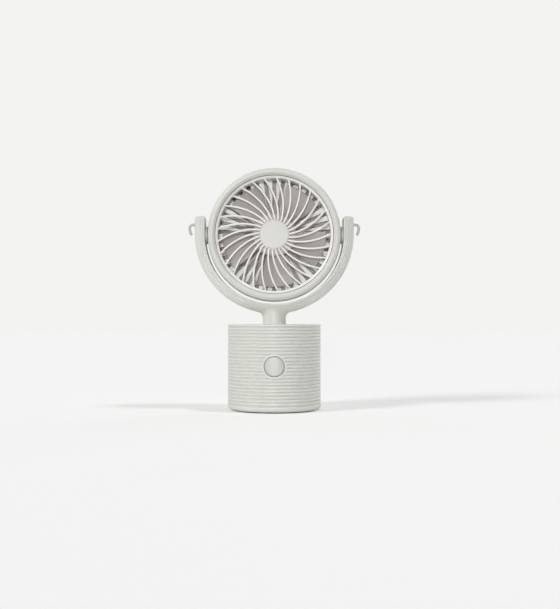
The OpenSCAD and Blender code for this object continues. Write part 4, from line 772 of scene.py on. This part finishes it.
for low, high in ((-0.37, -0.34), (0.34, 0.37)):
    for i in range(CONTACTS):
        x = (i - (CONTACTS - 1) / 2) * CONTACT_PITCH
        bar = block(x - CONTACT_HALF, x + CONTACT_HALF, low, high, 0.008, 1)
        shape.grid([port_row(bar, y) for y in (22.1, 27.1)], caps=True)
shape.build("port_contacts", "base", "brass", ["usb_c_socket"], sharp=40)


# ---------------------------------------------------------------- leads of the motor
def bent(points, radius, n=8):
    """Route through the points in space with its corners eased."""
    out = [points[0]]
    for p, q, s in zip(points, points[1:], points[2:]):
        p, q, s = Vector(p), Vector(q), Vector(s)
        cut = [min(radius, (e - q).length * 0.49) for e in (p, s)]
        a, b = q + (p - q).normalized() * cut[0], q + (s - q).normalized() * cut[1]
        out += [tuple(a * (1 - t) ** 2 + q * 2 * t * (1 - t) + b * t * t) for t in steps(0, 1, n)]
    return out + [points[-1]]


LEAD_R = 0.59
SPLIT_X = 42.75  # the lead parts here, on the tilt axis
SPLIT_GAP = 0.03
BEND_X = 36.85  # where it turns towards the back
RUN_F = -9.4  # behind the net
BOARD_X = 11
BOARD_F = -4.8
YOKE_RUN = 46.57  # radius of its run round the yoke
EXIT_Y = -64.3
DROP_Y = -66.0
END_F = 16.25
YOKE_BEND = 1.7
shape = Shape()
path = bent([(SPLIT_X - SPLIT_GAP, 0, 0), (BEND_X, 0, 0), (BEND_X, 0, RUN_F), (BOARD_X, 0, RUN_F),
             (BOARD_X, 0, BOARD_F)], 0.9)
shape.tube([at(*p) for p in path], LEAD_R, 16)
shape.build("motor_lead_head", "head", "wire_sleeve", ["motor_lead_upper"], sharp=60)
shape = Shape()
path = bent([(SPLIT_X + SPLIT_GAP, 0, 0), (YOKE_RUN, 0, 0), (YOKE_RUN, -3.2, 0)], YOKE_BEND)
path += [(YOKE_RUN * math.cos(a), YOKE_RUN * math.sin(a), 0) for a in steps(-0.085, -QUARTER + 0.05, 60)]
path += bent([(1.2, -YOKE_RUN + 0.01, 0), (0, -YOKE_RUN, 0), (0, EXIT_Y, 0), (0, DROP_Y, 14.5),
              (0, DROP_Y, END_F)], YOKE_BEND)[1:]
shape.tube([at(*p) for p in path], LEAD_R, 16)
shape.build("motor_lead_base", "base", "wire_sleeve", ["motor_lead_lower"], sharp=60)


# ---------------------------------------------------------------- stage
def seen(tree):
    """1 where the camera, a mirror or glass sees a surface, and 0 where it only lights others."""
    path = node(tree, "ShaderNodeLightPath").outputs
    both = node(tree, "ShaderNodeMath", {0: path["Is Camera Ray"], 1: path["Is Glossy Ray"]},
                operation="MAXIMUM")
    return node(tree, "ShaderNodeMath", {0: both.outputs[0], 1: path["Is Transmission Ray"]},
                operation="MAXIMUM").outputs[0]


FLOOR_HALF = 4.0  # metres
FLOOR_GLOW = 0.247  # makes the floor as pale as the backdrop and keeps the object's shadow
floor_mesh = bpy.data.meshes.new("floor")
floor_mesh.from_pydata([(x * FLOOR_HALF, y * FLOOR_HALF, 0) for x, y in ((-1, -1), (1, -1), (1, 1), (-1, 1))],
                       [], [(0, 1, 2, 3)])
floor = bpy.data.objects.new("floor", floor_mesh)
bpy.context.scene.collection.objects.link(floor)
floor_finish = bpy.data.materials.new("floor")
floor_finish.use_nodes = True
t = floor_finish.node_tree
t.nodes.remove(t.nodes["Principled BSDF"])
place = node(t, "ShaderNodeTexCoord").outputs["Object"]
haze = node(t, "ShaderNodeTexNoise", {"Vector": place, "Scale": 3.0})
tone = node(t, "ShaderNodeMix", {0: haze.outputs["Fac"], 6: linear((232, 232, 231)),
                                 7: linear((236, 236, 235))}, data_type="RGBA")
matt = node(t, "ShaderNodeBsdfDiffuse", {"Color": tone.outputs[2]})
share = node(t, "ShaderNodeMath", {0: seen(t), 1: FLOOR_GLOW}, operation="MULTIPLY")
glow = node(t, "ShaderNodeEmission", {"Color": (1, 1, 1, 1), "Strength": share.outputs[0]})
blend = node(t, "ShaderNodeAddShader", {0: matt.outputs[0], 1: glow.outputs[0]})
t.links.new(blend.outputs[0], t.nodes["Material Output"].inputs["Surface"])
floor.data.materials.append(floor_finish)

# ---------------------------------------------------------------- light
world = bpy.data.worlds.new("studio")
bpy.context.scene.world = world
world.use_nodes = True
t = world.node_tree
fill = t.nodes["Background"]
fill.inputs["Color"].default_value = (0.98, 0.99, 1.0, 1)
# the room is brighter behind the object, so its back isn't left in the dark
toward = node(t, "ShaderNodeSeparateXYZ", {0: node(t, "ShaderNodeTexCoord").outputs["Generated"]})
room = node(t, "ShaderNodeMapRange", {"Value": toward.outputs["Y"], "From Min": -0.4, "From Max": 0.6,
                                      "To Min": 0.14, "To Max": 0.66})
t.links.new(room.outputs["Result"], fill.inputs["Strength"])
backdrop = node(t, "ShaderNodeBackground", {"Color": linear((243, 243, 242)), "Strength": 1.0})
blend = node(t, "ShaderNodeMixShader", {0: seen(t), 1: fill.outputs[0], 2: backdrop.outputs[0]})
t.links.new(blend.outputs[0], t.nodes["World Output"].inputs["Surface"])


def sun(name, toward, strength, angle, tint=(1, 1, 1)):
    """Soft, distant lamp; toward is its direction from the object, angle how wide it is."""
    light = bpy.data.lights.new(name, "SUN")
    light.energy = strength
    light.color = tint
    light.angle = math.radians(angle)
    obj = bpy.data.objects.new(name, light)
    bpy.context.scene.collection.objects.link(obj)
    obj.rotation_euler = Vector(toward).to_track_quat("Z", "Y").to_euler()


sun("key", (-0.85, -0.55, 0.7), 1.1, 14, (1.0, 0.995, 0.985))
sun("front", (-0.05, -1.0, 0.056), 1.0, 6)
sun("crest", (0.7, -0.3, 1.4), 0.7, 10)
sun("back", (0.8, 0.9, 0.3), 0.25, 26)

# ---------------------------------------------------------------- camera
CAM_D = 600.0
CAM_Z = 56.0
PIXELS_PER_MM = 1.604  # of the photograph, at the object
FOCAL = PIXELS_PER_MM * CAM_D  # pixels
FRAME_H = 609  # pixels
AIM_UP = 15.0  # pixels
AIM_RIGHT = 5.7  # pixels
SENSOR = 36.0
cam = bpy.data.cameras.new("camera")
cam.sensor_width = SENSOR
cam.lens = FOCAL / FRAME_H * SENSOR
cam.clip_start = 0.01
cam.clip_end = 20
camera = bpy.data.objects.new("camera", cam)
bpy.context.scene.collection.objects.link(camera)
camera.location = (0, -CAM_D * MM, CAM_Z * MM)
camera.rotation_euler = (QUARTER + math.atan(AIM_UP / FOCAL), 0, -math.atan(AIM_RIGHT / FOCAL))
bpy.context.scene.camera = camera
bpy.context.scene.view_settings.view_transform = "Standard"
